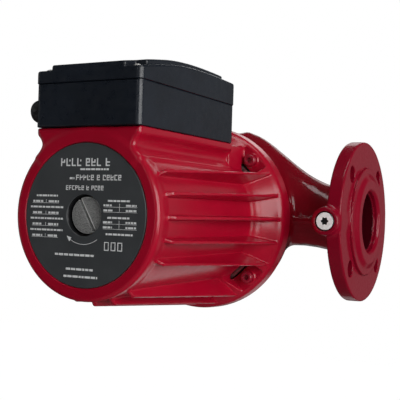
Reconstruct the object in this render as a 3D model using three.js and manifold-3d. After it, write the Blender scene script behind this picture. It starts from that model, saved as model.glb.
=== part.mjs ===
// A flanged in-line circulator pump with a wet-rotor motor.
// Millimetres. The pipe axis is X and the motor axis is Y, with the motor's front at -Y.
// +Z is up, and the origin is where the two axes cross.

import * as THREE from "three";
import { mergeVertices } from "three/addons/utils/BufferGeometryUtils.js";
import Module from "manifold-3d";

const wasm = await Module();
wasm.setup();

// ---- Driving dimensions ----

const GAP = 0.3; // between pieces that touch

// Pipe side: DN 50 ports, 280 mm from face to face.
const PORT_FACE_X = 140;
const PORT_RADIUS = 26;
const FLANGE_RADIUS = 70;
const FLANGE_BACK_X = 121.8;
const FLANGE_FRONT_X = 134.2;
const FLANGE_STEP_RADIUS = 47;
const FLANGE_STEP = 2.8;
const RAISED_FACE_RADIUS = 36.5;
const FLANGE_HOLE_RADIUS = 7;
const FLANGE_HOLE_CIRCLE = 56;
const FLANGE_FILLET = 8; // how far the cone behind a flange reaches along the neck
const NECK_RADIUS = 28.6;
const NECK_WALL = 3.6;
const OUTLET_START_X = 26; // where the outlet neck leaves the volute
const OUTLET_GROWTH_Z = 27; // how much taller it is there
const OUTLET_HALF_Y = 25;
const OUTLET_SHIFT_Y = -18;
const OUTLET_SHIFT_Z = 24;
const OUTLET_STEPS = 6;
const INLET_STEPS = 5;

// Volute around the impeller, and the suction bend behind it.
const HOUSING_FACE_Y = -44.1;
const VOLUTE_RADIUS = 77.5;
const VOLUTE_BACK_Y = 6;
const VOLUTE_RIM = 1.5; // how far its front rim stands out
const VOLUTE_RIM_WIDTH = 4;
const VOLUTE_SHOULDER_Y = -36; // it tapers behind here, to stay behind the motor's rear ring
const VOLUTE_TAPER = 7; // how much narrower it is at the middle of the impeller chamber
const VOLUTE_PAD_HALF = 28; // the flat pad on top
const VOLUTE_PAD_BACK_Y = -18;
const VOLUTE_PAD_TOP_Z = 76.6;
const CHAMBER_RADIUS = 66;
const CHAMBER_FRONT_Y = -41;
const CHAMBER_BACK_Y = -12;
const SPIGOT_RADIUS = 63;
const SPIGOT_BORE = 58.5;
const SPIGOT_FRONT_Y = -52.5;
const EYE_SEAT_RADIUS = 27;
const BEND_CENTRE_Y = 31;
const BEND_RADIUS = 31;
const BEND_BORE = 26;

// Gauge tappings on the two necks.
const TAPPING_X = 122.5;
const TAPPING_FACE_Y = -76;
const TAPPING_BOSS_RADIUS = 11.6;
const TAPPING_BOSS_LENGTH = 50;
const TAPPING_PLUG_RADIUS = 7.2;
const TAPPING_THREAD_RADIUS = 5.2;
const TAPPING_SEAT_DEPTH = 3.5;
const TAPPING_DEPTH = 56; // through the boss into the bore

// Motor housing.
const MOTOR_FRONT_Y = -234.5;
const MOTOR_BACK_Y = HOUSING_FACE_Y - GAP;
const BODY_RADIUS = 60;
const FRONT_RING_RADIUS = 61.2;
const BODY_BORE = 51.5;
const BORE_FRONT_Y = -218;
const SEAT_BORE = 63.4;
const SEAT_FRONT_Y = -64;
const RING_RADIUS = 81.4;
const RING_FRONT_RADIUS = 78.5;
const RING_FRONT_Y = -60;
const CONE_FRONT_Y = -79;
const RIB_FRONT_Y = -222;
const RIB_FRONT_RADIUS = 65.5;
const RIB_THICKNESS = 3;
const RIB_ANGLES = [30, 15, 0, -15, -30, -60, -75, -90, -105, -120, -150, -165, 180, 165, 150];
const SCREW_ANGLES = [45, -45, -135, 135];
const SCREW_CIRCLE = 71;
const SCREW_SEAT_Y = -61;
const SCREW_SEAT_RADIUS = 6;
const MOTOR_SCREW_RADIUS = 3;
const MOTOR_SCREW_LENGTH = 26;
const MOTOR_SCREW_THREAD_END_Y = -34;
const PLATE_RADIUS = 51.2;
const PLATE_RECESS_Y = -233.2;
const VENT_BORE = 14.75;
const VENT_FACE_Y = -230.5;
const VENT_PLUG_RADIUS = 13.15;

// Pedestal and terminal box on top of the motor.
const PEDESTAL_HALF = 44.5;
const PEDESTAL_TOP_Z = 62.5;
const PEDESTAL_BACK_Y = -87;
const BOX_HALF = 44.8;
const BOX_FRONT_Y = -235.5;
const BOX_BACK_Y = -87.4;
const BOX_TOP_Z = 94.4;
const BOX_WALL = 3;
const BOX_CORNER = 4;
const LID_WALL = 2.6;
const LID_PANEL_HEIGHT = 3.8;
const BOX_FLOOR_Z = PEDESTAL_TOP_Z + GAP;
const LID_BASE_Z = BOX_TOP_Z + GAP;
const LID_SCREWS = [
  // x, y and the height of the seat under the head
  [37.5, -228.5, 103],
  [37.5, -95, 111],
  [-37.5, -228.5, 103],
  [-37.5, -95, 111],
];
const LID_SCREW_HOLE = 2.5;
const LID_SCREW_HEAD = 4;
const POST_HALF = 4.7;
const BOX_SCREWS = [
  [0, -222],
  [24, -98],
];
const GLAND_Y = -211;
const GLAND_Z = 77.5;
const GLAND_HOLE_RADIUS = 8.3;
const LEAD_HOLE_Y = -108;
const LEAD_HOLE_RADIUS = 8;
const TERMINALS = 6;
const TERMINAL_PITCH = 9;
const BLOCK_Y = [-152, -132];
const BLOCK_MIDDLE_Y = (BLOCK_Y[0] + BLOCK_Y[1]) / 2;
const BLOCK_HEIGHT = 12;
const PARTITION_HEIGHT = 5;

// Rotating assembly and its bearings.
const SHAFT_RADIUS = 7;
const BUSH_BORE = 7.3;
const BUSH_RADIUS = 12;
const FRONT_BUSH_Y = [-209.2, -197.5];
const REAR_BUSH_Y = [-73.4, -60.2];
const THRUST_RING_Y = [-79, -74.2];
const ROTOR_RADIUS = 28;
const CORE_FRONT_Y = -190;
const CORE_BACK_Y = -98;
const CAN_BORE = 28.8;
const CAN_RADIUS = 29.6;
const CAN_FRONT_Y = -216.3;
const CAN_BACK_Y = -61.5;
const CAN_SHEET = 1.1; // its flange at the back
const CAN_END_SHEET = 1.7; // its front wall
const PLATE_FRONT_Y = -61.2; // the bearing plate
const PLATE_RIM_Y = -55.2; // the back of its rim
const PLATE_BACK_Y = -50;
const PLATE_GASKET_Y = -54.8;
const WINDING_FRONT_Y = -207;
const WINDING_BACK_Y = -82;
const IMPELLER_RADIUS = 57;
const EYE_NECK_RADIUS = 23.9;
const EYE_BORE = 21.2;
const HUB_FRONT_Y = -25; // where the impeller's hub meets its nut
const VANES = 6;

// Facets around a full turn.
const FINE = 36;
const MEDIUM = 20;
const COARSE = 12;
const DUCT_SIDES = 16;

const DEG = Math.PI / 180;

// ---- Solids from geometries ----

function solidOf(geometry) {
  const bare = geometry.clone();
  bare.deleteAttribute("normal");
  bare.deleteAttribute("uv");
  const merged = mergeVertices(bare, 1e-4);
  return new wasm.Manifold(
    new wasm.Mesh({
      numProp: 3,
      vertProperties: merged.attributes.position.array,
      triVerts: new Uint32Array(merged.index.array),
    }),
  );
}

function geometryOf(solid) {
  const mesh = solid.getMesh();
  const geometry = new THREE.BufferGeometry();
  geometry.setAttribute("position", new THREE.BufferAttribute(mesh.vertProperties, 3));
  geometry.setIndex(new THREE.BufferAttribute(mesh.triVerts, 1));
  geometry.computeVertexNormals();
  return geometry;
}

const join = (first, ...rest) => rest.reduce((sum, solid) => sum.add(solid), first);
const cut = (first, ...rest) => rest.reduce((left, solid) => left.subtract(solid), first);

// ---- Geometry helpers ----

// A ring or disc turned about Y. The profile is a loop of [radius, y] points.
function turnedGeometry(profile, facets) {
  const loop = profile.map(([radius, y]) => new THREE.Vector2(radius, y));
  if (THREE.ShapeUtils.area(loop) < 0) loop.reverse();
  const onAxis = loop.findIndex((p, i) => p.x === 0 && loop[(i + loop.length - 1) % loop.length].x === 0);
  if (onAxis < 0) {
    loop.push(loop[0].clone());
    return new THREE.LatheGeometry(loop, facets);
  }
  const open = [...loop.slice(onAxis), ...loop.slice(0, onAxis)];
  return new THREE.LatheGeometry(open, facets);
}

const turned = (profile, facets = FINE) => solidOf(turnedGeometry(profile, facets));

// The same about the pipe axis, where side is +1 for the outlet and -1 for the inlet.
const turnedOnPipe = (profile, side, facets = FINE) =>
  solidOf(turnedGeometry(profile, facets).rotateZ((-side * Math.PI) / 2));

function drum(radius, from, to, facets = MEDIUM) {
  const geometry = new THREE.CylinderGeometry(radius, radius, to - from, facets);
  return solidOf(geometry.translate(0, (from + to) / 2, 0));
}

function post(radius, x, y, fromZ, toZ, facets = COARSE) {
  const geometry = new THREE.CylinderGeometry(radius, radius, toZ - fromZ, facets);
  return solidOf(geometry.rotateX(Math.PI / 2).translate(x, y, (fromZ + toZ) / 2));
}

function pin(radius, fromX, toX, y, z, facets = COARSE) {
  const geometry = new THREE.CylinderGeometry(radius, radius, toX - fromX, facets);
  return solidOf(geometry.rotateZ(-Math.PI / 2).translate((fromX + toX) / 2, y, z));
}

function block([x0, x1], [y0, y1], [z0, z1]) {
  const geometry = new THREE.BoxGeometry(x1 - x0, y1 - y0, z1 - z0);
  return solidOf(geometry.translate((x0 + x1) / 2, (y0 + y1) / 2, (z0 + z1) / 2));
}

function extrude(shape, depth, curveSegments = 6) {
  return new THREE.ExtrudeGeometry(shape, { depth, curveSegments, bevelEnabled: false });
}

// An outline in X and Z, drawn out along Y.
function extrudeAlongY(shape, from, to, curveSegments) {
  const geometry = extrude(shape, to - from, curveSegments);
  return solidOf(geometry.rotateX(Math.PI / 2).translate(0, to, 0));
}

// An outline in Y and Z, drawn out along X, centred on X = 0.
function extrudeAlongX(shape, width, curveSegments) {
  const toX = new THREE.Matrix4().makeBasis(
    new THREE.Vector3(0, 1, 0),
    new THREE.Vector3(0, 0, 1),
    new THREE.Vector3(1, 0, 0),
  );
  return solidOf(extrude(shape, width, curveSegments).translate(0, 0, -width / 2).applyMatrix4(toX));
}

function polygon(points) {
  return new THREE.Shape(points.map(([x, y]) => new THREE.Vector2(x, y)));
}

// A rectangle centred on x with rounded corners, from y0 to y1.
function roundedRectangle(half, y0, y1, corner) {
  const shape = new THREE.Shape();
  shape.moveTo(-half + corner, y0);
  shape.lineTo(half - corner, y0);
  shape.absarc(half - corner, y0 + corner, corner, -90 * DEG, 0);
  shape.lineTo(half, y1 - corner);
  shape.absarc(half - corner, y1 - corner, corner, 0, 90 * DEG);
  shape.lineTo(-half + corner, y1);
  shape.absarc(-half + corner, y1 - corner, corner, 90 * DEG, 180 * DEG);
  shape.lineTo(-half, y0 + corner);
  shape.absarc(-half + corner, y0 + corner, corner, 180 * DEG, 270 * DEG);
  return shape;
}

const upright = (shape, fromZ, toZ) => solidOf(extrude(shape, toZ - fromZ).translate(0, 0, fromZ));

// A duct whose section at each x is an ellipse. stationAt(t) gives [x, centre y, centre z, half y, half z].
function duct(stationAt, steps) {
  const geometry = new THREE.CylinderGeometry(1, 1, 1, DUCT_SIDES, steps).rotateZ(-Math.PI / 2);
  const position = geometry.attributes.position;
  for (let i = 0; i < position.count; i++) {
    const [x, y, z, halfY, halfZ] = stationAt(position.getX(i) + 0.5);
    position.setXYZ(i, x, y + halfY * position.getY(i), z + halfZ * position.getZ(i));
  }
  return solidOf(geometry);
}

// A radial plate. The outline is in radius and y, and the angle is from +X towards +Z.
function radialPlate(outline, thickness, angle) {
  const geometry = extrude(polygon(outline), thickness).translate(0, 0, -thickness / 2);
  return solidOf(geometry.rotateY(-angle * DEG));
}

function drumAt(radius, angle, circle, from, to, facets = COARSE) {
  const geometry = new THREE.CylinderGeometry(radius, radius, to - from, facets);
  const x = circle * Math.cos(angle * DEG);
  const z = circle * Math.sin(angle * DEG);
  return solidOf(geometry.translate(x, (from + to) / 2, z));
}

// ---- Pump housing ----

const smooth = (t) => t * t * (3 - 2 * t);
const mix = (a, b, t) => a + (b - a) * t;

// The outlet neck swoops down from the top of the volute to the pipe axis.
function outletStation(t, wall) {
  const x = mix(OUTLET_START_X, FLANGE_BACK_X + 2, t);
  const rise = 1 - smooth(t);
  const halfZ = NECK_RADIUS + OUTLET_GROWTH_Z * rise * rise - wall;
  const halfY = mix(NECK_RADIUS, OUTLET_HALF_Y, rise) - wall;
  return [x, OUTLET_SHIFT_Y * rise, OUTLET_SHIFT_Z * rise, halfY, halfZ];
}

// The inlet neck runs behind the volute to the suction bend.
function inletStation(t, wall) {
  const x = mix(-FLANGE_BACK_X - 2, 0, t);
  const swing = smooth(t);
  const half = mix(NECK_RADIUS, BEND_RADIUS, swing) - wall;
  return [x, BEND_CENTRE_Y * swing, 0, half, half];
}

function flange(side) {
  return turnedOnPipe(
    [
      [0, FLANGE_BACK_X],
      [FLANGE_RADIUS, FLANGE_BACK_X],
      [FLANGE_RADIUS, FLANGE_FRONT_X],
      [FLANGE_STEP_RADIUS, FLANGE_FRONT_X],
      [FLANGE_STEP_RADIUS, FLANGE_FRONT_X + FLANGE_STEP],
      [RAISED_FACE_RADIUS, PORT_FACE_X],
      [0, PORT_FACE_X],
    ],
    side,
  );
}

function flangeFillet(side) {
  return turnedOnPipe(
    [
      [0, FLANGE_BACK_X - FLANGE_FILLET],
      [NECK_RADIUS, FLANGE_BACK_X - FLANGE_FILLET],
      [NECK_RADIUS + 6, FLANGE_BACK_X + 0.5],
      [0, FLANGE_BACK_X + 0.5],
    ],
    side,
    DUCT_SIDES,
  );
}

function portBore(side) {
  const chamfer = 1.5;
  return turnedOnPipe(
    [
      [0, FLANGE_BACK_X],
      [PORT_RADIUS - 0.5, FLANGE_BACK_X],
      [PORT_RADIUS, PORT_FACE_X - chamfer],
      [PORT_RADIUS + chamfer + 1, PORT_FACE_X + 1],
      [0, PORT_FACE_X + 1],
    ],
    side,
    DUCT_SIDES,
  );
}

function flangeHoles(side) {
  const ends = [side * (FLANGE_BACK_X - 6), side * (FLANGE_FRONT_X + 2)];
  return SCREW_ANGLES.map((angle) => {
    const y = FLANGE_HOLE_CIRCLE * Math.cos(angle * DEG);
    const z = FLANGE_HOLE_CIRCLE * Math.sin(angle * DEG);
    return pin(FLANGE_HOLE_RADIUS, Math.min(...ends), Math.max(...ends), y, z);
  });
}

function tappingBoss(x) {
  const profile = [
    [0, TAPPING_FACE_Y],
    [TAPPING_BOSS_RADIUS, TAPPING_FACE_Y],
    [TAPPING_BOSS_RADIUS, TAPPING_FACE_Y + TAPPING_BOSS_LENGTH],
    [0, TAPPING_FACE_Y + TAPPING_BOSS_LENGTH],
  ];
  return solidOf(turnedGeometry(profile, DUCT_SIDES).translate(x, 0, 0));
}

// A counterbore for the plug's head, with the threaded hole behind it.
function tappingHole(x) {
  const profile = [
    [0, TAPPING_FACE_Y - 1],
    [TAPPING_PLUG_RADIUS + 0.8, TAPPING_FACE_Y - 1],
    [TAPPING_PLUG_RADIUS + 0.8, TAPPING_FACE_Y + TAPPING_SEAT_DEPTH],
    [TAPPING_THREAD_RADIUS, TAPPING_FACE_Y + TAPPING_SEAT_DEPTH],
    [TAPPING_THREAD_RADIUS, TAPPING_FACE_Y + TAPPING_DEPTH],
    [0, TAPPING_FACE_Y + TAPPING_DEPTH],
  ];
  return solidOf(turnedGeometry(profile, COARSE).translate(x, 0, 0));
}

function voluteOutside() {
  return turned([
    [0, HOUSING_FACE_Y],
    [VOLUTE_RADIUS + VOLUTE_RIM, HOUSING_FACE_Y],
    [VOLUTE_RADIUS + VOLUTE_RIM, HOUSING_FACE_Y + VOLUTE_RIM_WIDTH],
    [VOLUTE_RADIUS, VOLUTE_SHOULDER_Y],
    [VOLUTE_RADIUS - VOLUTE_TAPER, VOLUTE_BACK_Y - 26],
    [VOLUTE_RADIUS - 2 * VOLUTE_TAPER, VOLUTE_BACK_Y - 13],
    [VOLUTE_RADIUS - 4 * VOLUTE_TAPER, VOLUTE_BACK_Y],
    [0, VOLUTE_BACK_Y],
  ]);
}

function volutePad() {
  const x = [-VOLUTE_PAD_HALF, VOLUTE_PAD_HALF];
  const z = [CHAMBER_RADIUS - 6, VOLUTE_PAD_TOP_Z];
  return block(x, [HOUSING_FACE_Y, VOLUTE_PAD_BACK_Y], z);
}

function impellerChamber() {
  return turned([
    [0, SPIGOT_FRONT_Y - 1],
    [SPIGOT_BORE, SPIGOT_FRONT_Y - 1],
    [SPIGOT_BORE, CHAMBER_FRONT_Y],
    [CHAMBER_RADIUS, CHAMBER_FRONT_Y],
    [CHAMBER_RADIUS, CHAMBER_BACK_Y - 7],
    [CHAMBER_RADIUS - 6, CHAMBER_BACK_Y],
    [0, CHAMBER_BACK_Y],
  ]);
}

function makePumpHousing() {
  const outside = join(
    voluteOutside(),
    volutePad(),
    drum(SPIGOT_RADIUS, SPIGOT_FRONT_Y, HOUSING_FACE_Y + 1, FINE),
    duct((t) => outletStation(t, 0), OUTLET_STEPS),
    duct((t) => inletStation(t, 0), INLET_STEPS),
    solidOf(new THREE.SphereGeometry(BEND_RADIUS, DUCT_SIDES, 8).translate(0, BEND_CENTRE_Y, 0)),
    drum(BEND_RADIUS + 2, 0, BEND_CENTRE_Y, DUCT_SIDES),
    ...[1, -1].flatMap((side) => [flange(side), flangeFillet(side), tappingBoss(side * TAPPING_X)]),
  );
  const passages = join(
    impellerChamber(),
    duct((t) => outletStation(t, NECK_WALL), OUTLET_STEPS),
    duct((t) => inletStation(t, NECK_WALL), INLET_STEPS),
    solidOf(new THREE.SphereGeometry(BEND_BORE, DUCT_SIDES, 8).translate(0, BEND_CENTRE_Y, 0)),
    drum(BEND_BORE - 1, CHAMBER_BACK_Y - 1, BEND_CENTRE_Y, DUCT_SIDES),
    drum(EYE_SEAT_RADIUS, CHAMBER_BACK_Y - 1, CHAMBER_BACK_Y + 7, MEDIUM),
    portBore(1),
    portBore(-1),
  );
  const holes = [
    ...flangeHoles(1),
    ...flangeHoles(-1),
    tappingHole(TAPPING_X),
    tappingHole(-TAPPING_X),
    ...SCREW_ANGLES.map((angle) =>
      drumAt(MOTOR_SCREW_RADIUS + GAP, angle, SCREW_CIRCLE, HOUSING_FACE_Y - 1, MOTOR_SCREW_THREAD_END_Y, 10),
    ),
  ];
  return cut(outside, passages, ...holes);
}

function makeWearRing() {
  return turned(
    [
      [EYE_NECK_RADIUS + 0.4, CHAMBER_BACK_Y + 0.3],
      [EYE_SEAT_RADIUS - GAP, CHAMBER_BACK_Y + 0.3],
      [EYE_SEAT_RADIUS - GAP, CHAMBER_BACK_Y + 6.7],
      [EYE_NECK_RADIUS + 0.4, CHAMBER_BACK_Y + 6.7],
    ],
    MEDIUM,
  );
}

// A flat gauge plug with a hexagon socket; its head sits in the counterbore.
function makeGaugePlug() {
  const head = turned(
    [
      [0, 0.6],
      [TAPPING_PLUG_RADIUS - 0.6, 0.6],
      [TAPPING_PLUG_RADIUS, 1.2],
      [TAPPING_PLUG_RADIUS, TAPPING_SEAT_DEPTH - GAP],
      [TAPPING_THREAD_RADIUS - GAP, TAPPING_SEAT_DEPTH - GAP],
      [TAPPING_THREAD_RADIUS - GAP, 13],
      [0, 13],
    ],
    MEDIUM,
  );
  return cut(head, drum(3, 0, 4.5, 6));
}

function makeHousingGasket() {
  return turned(
    [
      [SPIGOT_BORE + 0.8, PLATE_GASKET_Y],
      [SPIGOT_RADIUS - 0.5, PLATE_GASKET_Y],
      [SPIGOT_RADIUS - 0.5, SPIGOT_FRONT_Y - GAP],
      [SPIGOT_BORE + 0.8, SPIGOT_FRONT_Y - GAP],
    ],
    MEDIUM,
  );
}

// ---- Motor housing ----

function ribOutline() {
  return [
    [BODY_RADIUS - 2, RIB_FRONT_Y],
    [BODY_RADIUS, RIB_FRONT_Y],
    [RIB_FRONT_RADIUS, RIB_FRONT_Y + 4],
    [RING_FRONT_RADIUS - 0.3, RING_FRONT_Y],
    [BODY_RADIUS - 2, RING_FRONT_Y],
  ];
}

// The rings at both ends, the body between them, and the cone in front of the rear ring.
function motorBody() {
  const frontRing = turned([
    [0, MOTOR_FRONT_Y],
    [FRONT_RING_RADIUS - 3.6, MOTOR_FRONT_Y],
    [FRONT_RING_RADIUS - 1, MOTOR_FRONT_Y + 1],
    [FRONT_RING_RADIUS, MOTOR_FRONT_Y + 3.6],
    [FRONT_RING_RADIUS, MOTOR_FRONT_Y + 9],
    [BODY_RADIUS, MOTOR_FRONT_Y + 12],
    [0, MOTOR_FRONT_Y + 12],
  ]);
  const rearRing = turned([
    [0, RING_FRONT_Y],
    [RING_FRONT_RADIUS, RING_FRONT_Y],
    [RING_RADIUS - 0.6, RING_FRONT_Y + 3],
    [RING_RADIUS, MOTOR_BACK_Y - 1],
    [RING_RADIUS - 1, MOTOR_BACK_Y],
    [0, MOTOR_BACK_Y],
  ]);
  return join(frontRing, drum(BODY_RADIUS, MOTOR_FRONT_Y + 10, RING_FRONT_Y + 1, FINE), rearRing);
}

// The cone between the ribs, left out where the four screws sit.
function ringCone() {
  const cone = turned([
    [BODY_RADIUS - 2, CONE_FRONT_Y],
    [BODY_RADIUS + 3, CONE_FRONT_Y],
    [RING_FRONT_RADIUS - 0.6, RING_FRONT_Y + 0.2],
    [BODY_RADIUS - 2, RING_FRONT_Y + 0.2],
  ]);
  const pockets = SCREW_ANGLES.map((angle) =>
    radialPlate(
      [
        [BODY_RADIUS, CONE_FRONT_Y - 2],
        [RING_RADIUS + 4, CONE_FRONT_Y - 2],
        [RING_RADIUS + 4, RING_FRONT_Y - 0.1],
        [BODY_RADIUS, RING_FRONT_Y - 0.1],
      ],
      26,
      angle,
    ),
  );
  return cut(cone, ...pockets);
}

// The pedestal's section: a waist between the round motor and the flat top.
function pedestalShape() {
  const waist = 9;
  const waistX = PEDESTAL_HALF + 4.5;
  const waistZ = 49;
  const top = Math.acos((waistX - PEDESTAL_HALF) / waist);
  const shape = new THREE.Shape();
  shape.moveTo(-PEDESTAL_HALF, PEDESTAL_TOP_Z);
  shape.absarc(-waistX, waistZ, waist, top, -60 * DEG, true);
  shape.lineTo(-20, 20);
  shape.lineTo(20, 20);
  shape.absarc(waistX, waistZ, waist, 240 * DEG, 180 * DEG - top, true);
  shape.lineTo(PEDESTAL_HALF, PEDESTAL_TOP_Z);
  return shape;
}

function pedestalTie(side) {
  const x = side * (PEDESTAL_HALF - 3.5);
  return block([x - 1.5, x + 1.5], [PEDESTAL_BACK_Y - 1, RING_FRONT_Y + 1], [40, PEDESTAL_TOP_Z - 1]);
}

function makeMotorHousing() {
  const outside = join(
    motorBody(),
    ringCone(),
    extrudeAlongY(pedestalShape(), MOTOR_FRONT_Y, PEDESTAL_BACK_Y, 6),
    pedestalTie(1),
    pedestalTie(-1),
    ...RIB_ANGLES.map((angle) => radialPlate(ribOutline(), RIB_THICKNESS, angle)),
    ...SCREW_ANGLES.map((angle) =>
      drumAt(SCREW_SEAT_RADIUS, angle, SCREW_CIRCLE, SCREW_SEAT_Y, RING_FRONT_Y + 1),
    ),
  );
  return cut(
    outside,
    drum(BODY_BORE, BORE_FRONT_Y, MOTOR_BACK_Y + 1, FINE),
    drum(SEAT_BORE, SEAT_FRONT_Y, MOTOR_BACK_Y + 1, FINE),
    drum(PLATE_RADIUS + 0.4, MOTOR_FRONT_Y - 1, PLATE_RECESS_Y, FINE),
    drum(VENT_BORE, MOTOR_FRONT_Y - 1, BORE_FRONT_Y + 1, MEDIUM),
    post(LEAD_HOLE_RADIUS, 0, LEAD_HOLE_Y, 40, PEDESTAL_TOP_Z + 1),
    ...BOX_SCREWS.map(([x, y]) => post(2.8, x, y, 54, PEDESTAL_TOP_Z + 1, 10)),
    ...SCREW_ANGLES.map((angle) =>
      drumAt(MOTOR_SCREW_RADIUS + 2 * GAP, angle, SCREW_CIRCLE, SCREW_SEAT_Y - 1, MOTOR_BACK_Y + 1, 10),
    ),
  );
}

function makeNamePlate() {
  return turned([
    [VENT_BORE, MOTOR_FRONT_Y],
    [PLATE_RADIUS, MOTOR_FRONT_Y],
    [PLATE_RADIUS, PLATE_RECESS_Y - GAP],
    [VENT_BORE, PLATE_RECESS_Y - GAP],
  ]);
}

// A socket-head screw along Y: the head's underside is at y = 0, the shank runs to +Y.
function makeCapScrew(radius, length) {
  const headRadius = radius * 1.6;
  const headHeight = radius * 1.6;
  const body = turned(
    [
      [0, -headHeight],
      [headRadius - 0.7, -headHeight],
      [headRadius, 0.7 - headHeight],
      [headRadius, 0],
      [radius, 0],
      [radius, length],
      [0, length],
    ],
    COARSE,
  );
  return cut(body, drum(radius * 0.85, -headHeight - 1, -headHeight * 0.35, 6));
}

// ---- Wet end of the motor: can, bearings, rotor ----

function makeStatorCan() {
  const hole = VENT_BORE - 1.1;
  return turned(
    [
      [hole, CAN_FRONT_Y],
      [CAN_RADIUS, CAN_FRONT_Y],
      [CAN_RADIUS, CAN_BACK_Y - CAN_SHEET],
      [SPIGOT_RADIUS - 2, CAN_BACK_Y - CAN_SHEET],
      [SPIGOT_RADIUS - 2, CAN_BACK_Y],
      [CAN_BORE, CAN_BACK_Y],
      [CAN_BORE, CAN_FRONT_Y + CAN_END_SHEET],
      [hole, CAN_FRONT_Y + CAN_END_SHEET],
    ],
    MEDIUM,
  );
}

// The front bearing seat, with a threaded boss that reaches the front of the motor.
function makeFrontBearingHolder() {
  const threadRadius = 10.4;
  const seatY = CAN_FRONT_Y + CAN_END_SHEET + 0.4;
  const bushY = FRONT_BUSH_Y[0] - GAP;
  return turned(
    [
      [threadRadius, -225],
      [13.4, -225],
      [13.4, seatY],
      [CAN_BORE - GAP, seatY],
      [CAN_BORE - GAP, -210],
      [16, -210],
      [16, -197],
      [BUSH_RADIUS + GAP, -197],
      [BUSH_RADIUS + GAP, bushY],
      [threadRadius, bushY],
    ],
    MEDIUM,
  );
}

const makeBush = ([from, to]) =>
  turned(
    [
      [BUSH_BORE, from],
      [BUSH_RADIUS, from],
      [BUSH_RADIUS, to],
      [BUSH_BORE, to],
    ],
    MEDIUM,
  );

function makeBearingPlate() {
  const shaftHole = SHAFT_RADIUS + 1;
  const bushSeatY = REAR_BUSH_Y[1] + 0.2;
  const sleeveY = REAR_BUSH_Y[0] - 0.2;
  const rim = SPIGOT_RADIUS - 0.2;
  return turned(
    [
      [shaftHole, bushSeatY],
      [BUSH_RADIUS + GAP, bushSeatY],
      [BUSH_RADIUS + GAP, sleeveY],
      [17, sleeveY],
      [19, PLATE_FRONT_Y],
      [rim, PLATE_FRONT_Y],
      [rim, PLATE_RIM_Y],
      [48, PLATE_RIM_Y],
      [44, PLATE_BACK_Y],
      [14, PLATE_BACK_Y],
      [shaftHole, PLATE_BACK_Y - 2],
    ],
    MEDIUM,
  );
}

// The lamination stack, with slots that open to the bore.
function makeStatorCore() {
  const slots = 18;
  const slotBottom = 43;
  const halfSlot = 4.6 * DEG;
  const bore = CAN_RADIUS + 2 * GAP;
  const shape = new THREE.Shape();
  shape.absarc(0, 0, BODY_BORE - GAP, 0, 360 * DEG);
  const hole = new THREE.Path();
  for (let i = 0; i < slots; i++) {
    const angle = (i * 360 * DEG) / slots;
    const corners = [
      [bore, -halfSlot],
      [slotBottom, -halfSlot],
      [slotBottom, halfSlot],
      [bore, halfSlot],
    ];
    for (const [radius, turn] of corners) {
      const at = [radius * Math.cos(angle + turn), radius * Math.sin(angle + turn)];
      if (hole.currentPoint.length() === 0) hole.moveTo(...at);
      else hole.lineTo(...at);
    }
  }
  hole.closePath();
  shape.holes.push(hole);
  return extrudeAlongY(shape, CORE_FRONT_Y, CORE_BACK_Y, 18);
}

function makeWinding(from, to) {
  const inside = 32;
  const outside = 46;
  return turned(
    [
      [inside, from],
      [outside, from],
      [outside + 2.5, (from + to) / 2],
      [outside, to],
      [inside, to],
    ],
    MEDIUM,
  );
}

const makeRotorCore = () =>
  turned(
    [
      [SHAFT_RADIUS + 0.1, CORE_FRONT_Y],
      [ROTOR_RADIUS - 3, CORE_FRONT_Y],
      [ROTOR_RADIUS, CORE_FRONT_Y + 3],
      [ROTOR_RADIUS, CORE_BACK_Y - 3],
      [ROTOR_RADIUS - 3, CORE_BACK_Y],
      [SHAFT_RADIUS + 0.1, CORE_BACK_Y],
    ],
    MEDIUM,
  );

// The shaft, with a screwdriver slot at the front end for freeing a stuck rotor.
function makeShaft() {
  const front = -211;
  const back = -12;
  const threadRadius = 4.6;
  const body = turned(
    [
      [0, front],
      [SHAFT_RADIUS - 0.8, front],
      [SHAFT_RADIUS - 0.2, front + 0.8],
      [SHAFT_RADIUS - 0.2, HUB_FRONT_Y - 1],
      [threadRadius, HUB_FRONT_Y - 0.4],
      [threadRadius, back],
      [0, back],
    ],
    MEDIUM,
  );
  return cut(body, block([-8, 8], [front - 1, front + 2], [-0.8, 0.8]));
}

const makeThrustRing = () =>
  turned(
    [
      [SHAFT_RADIUS + 0.1, THRUST_RING_Y[0]],
      [15, THRUST_RING_Y[0]],
      [15, THRUST_RING_Y[1]],
      [SHAFT_RADIUS + 0.1, THRUST_RING_Y[1]],
    ],
    MEDIUM,
  );

// One backward-curved vane as an outline in X and Z.
function vaneShape(start) {
  const steps = 4;
  const inner = 20;
  const outer = IMPELLER_RADIUS - 1;
  const sweep = -75 * DEG;
  const pointAt = (t, side) => {
    const radius = mix(inner, outer, t);
    const angle = start + sweep * t + (side * 1.5) / radius;
    return [radius * Math.cos(angle), radius * Math.sin(angle)];
  };
  const ts = Array.from({ length: steps + 1 }, (_, i) => i / steps);
  return polygon([...ts.map((t) => pointAt(t, -1)), ...ts.reverse().map((t) => pointAt(t, 1))]);
}

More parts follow.
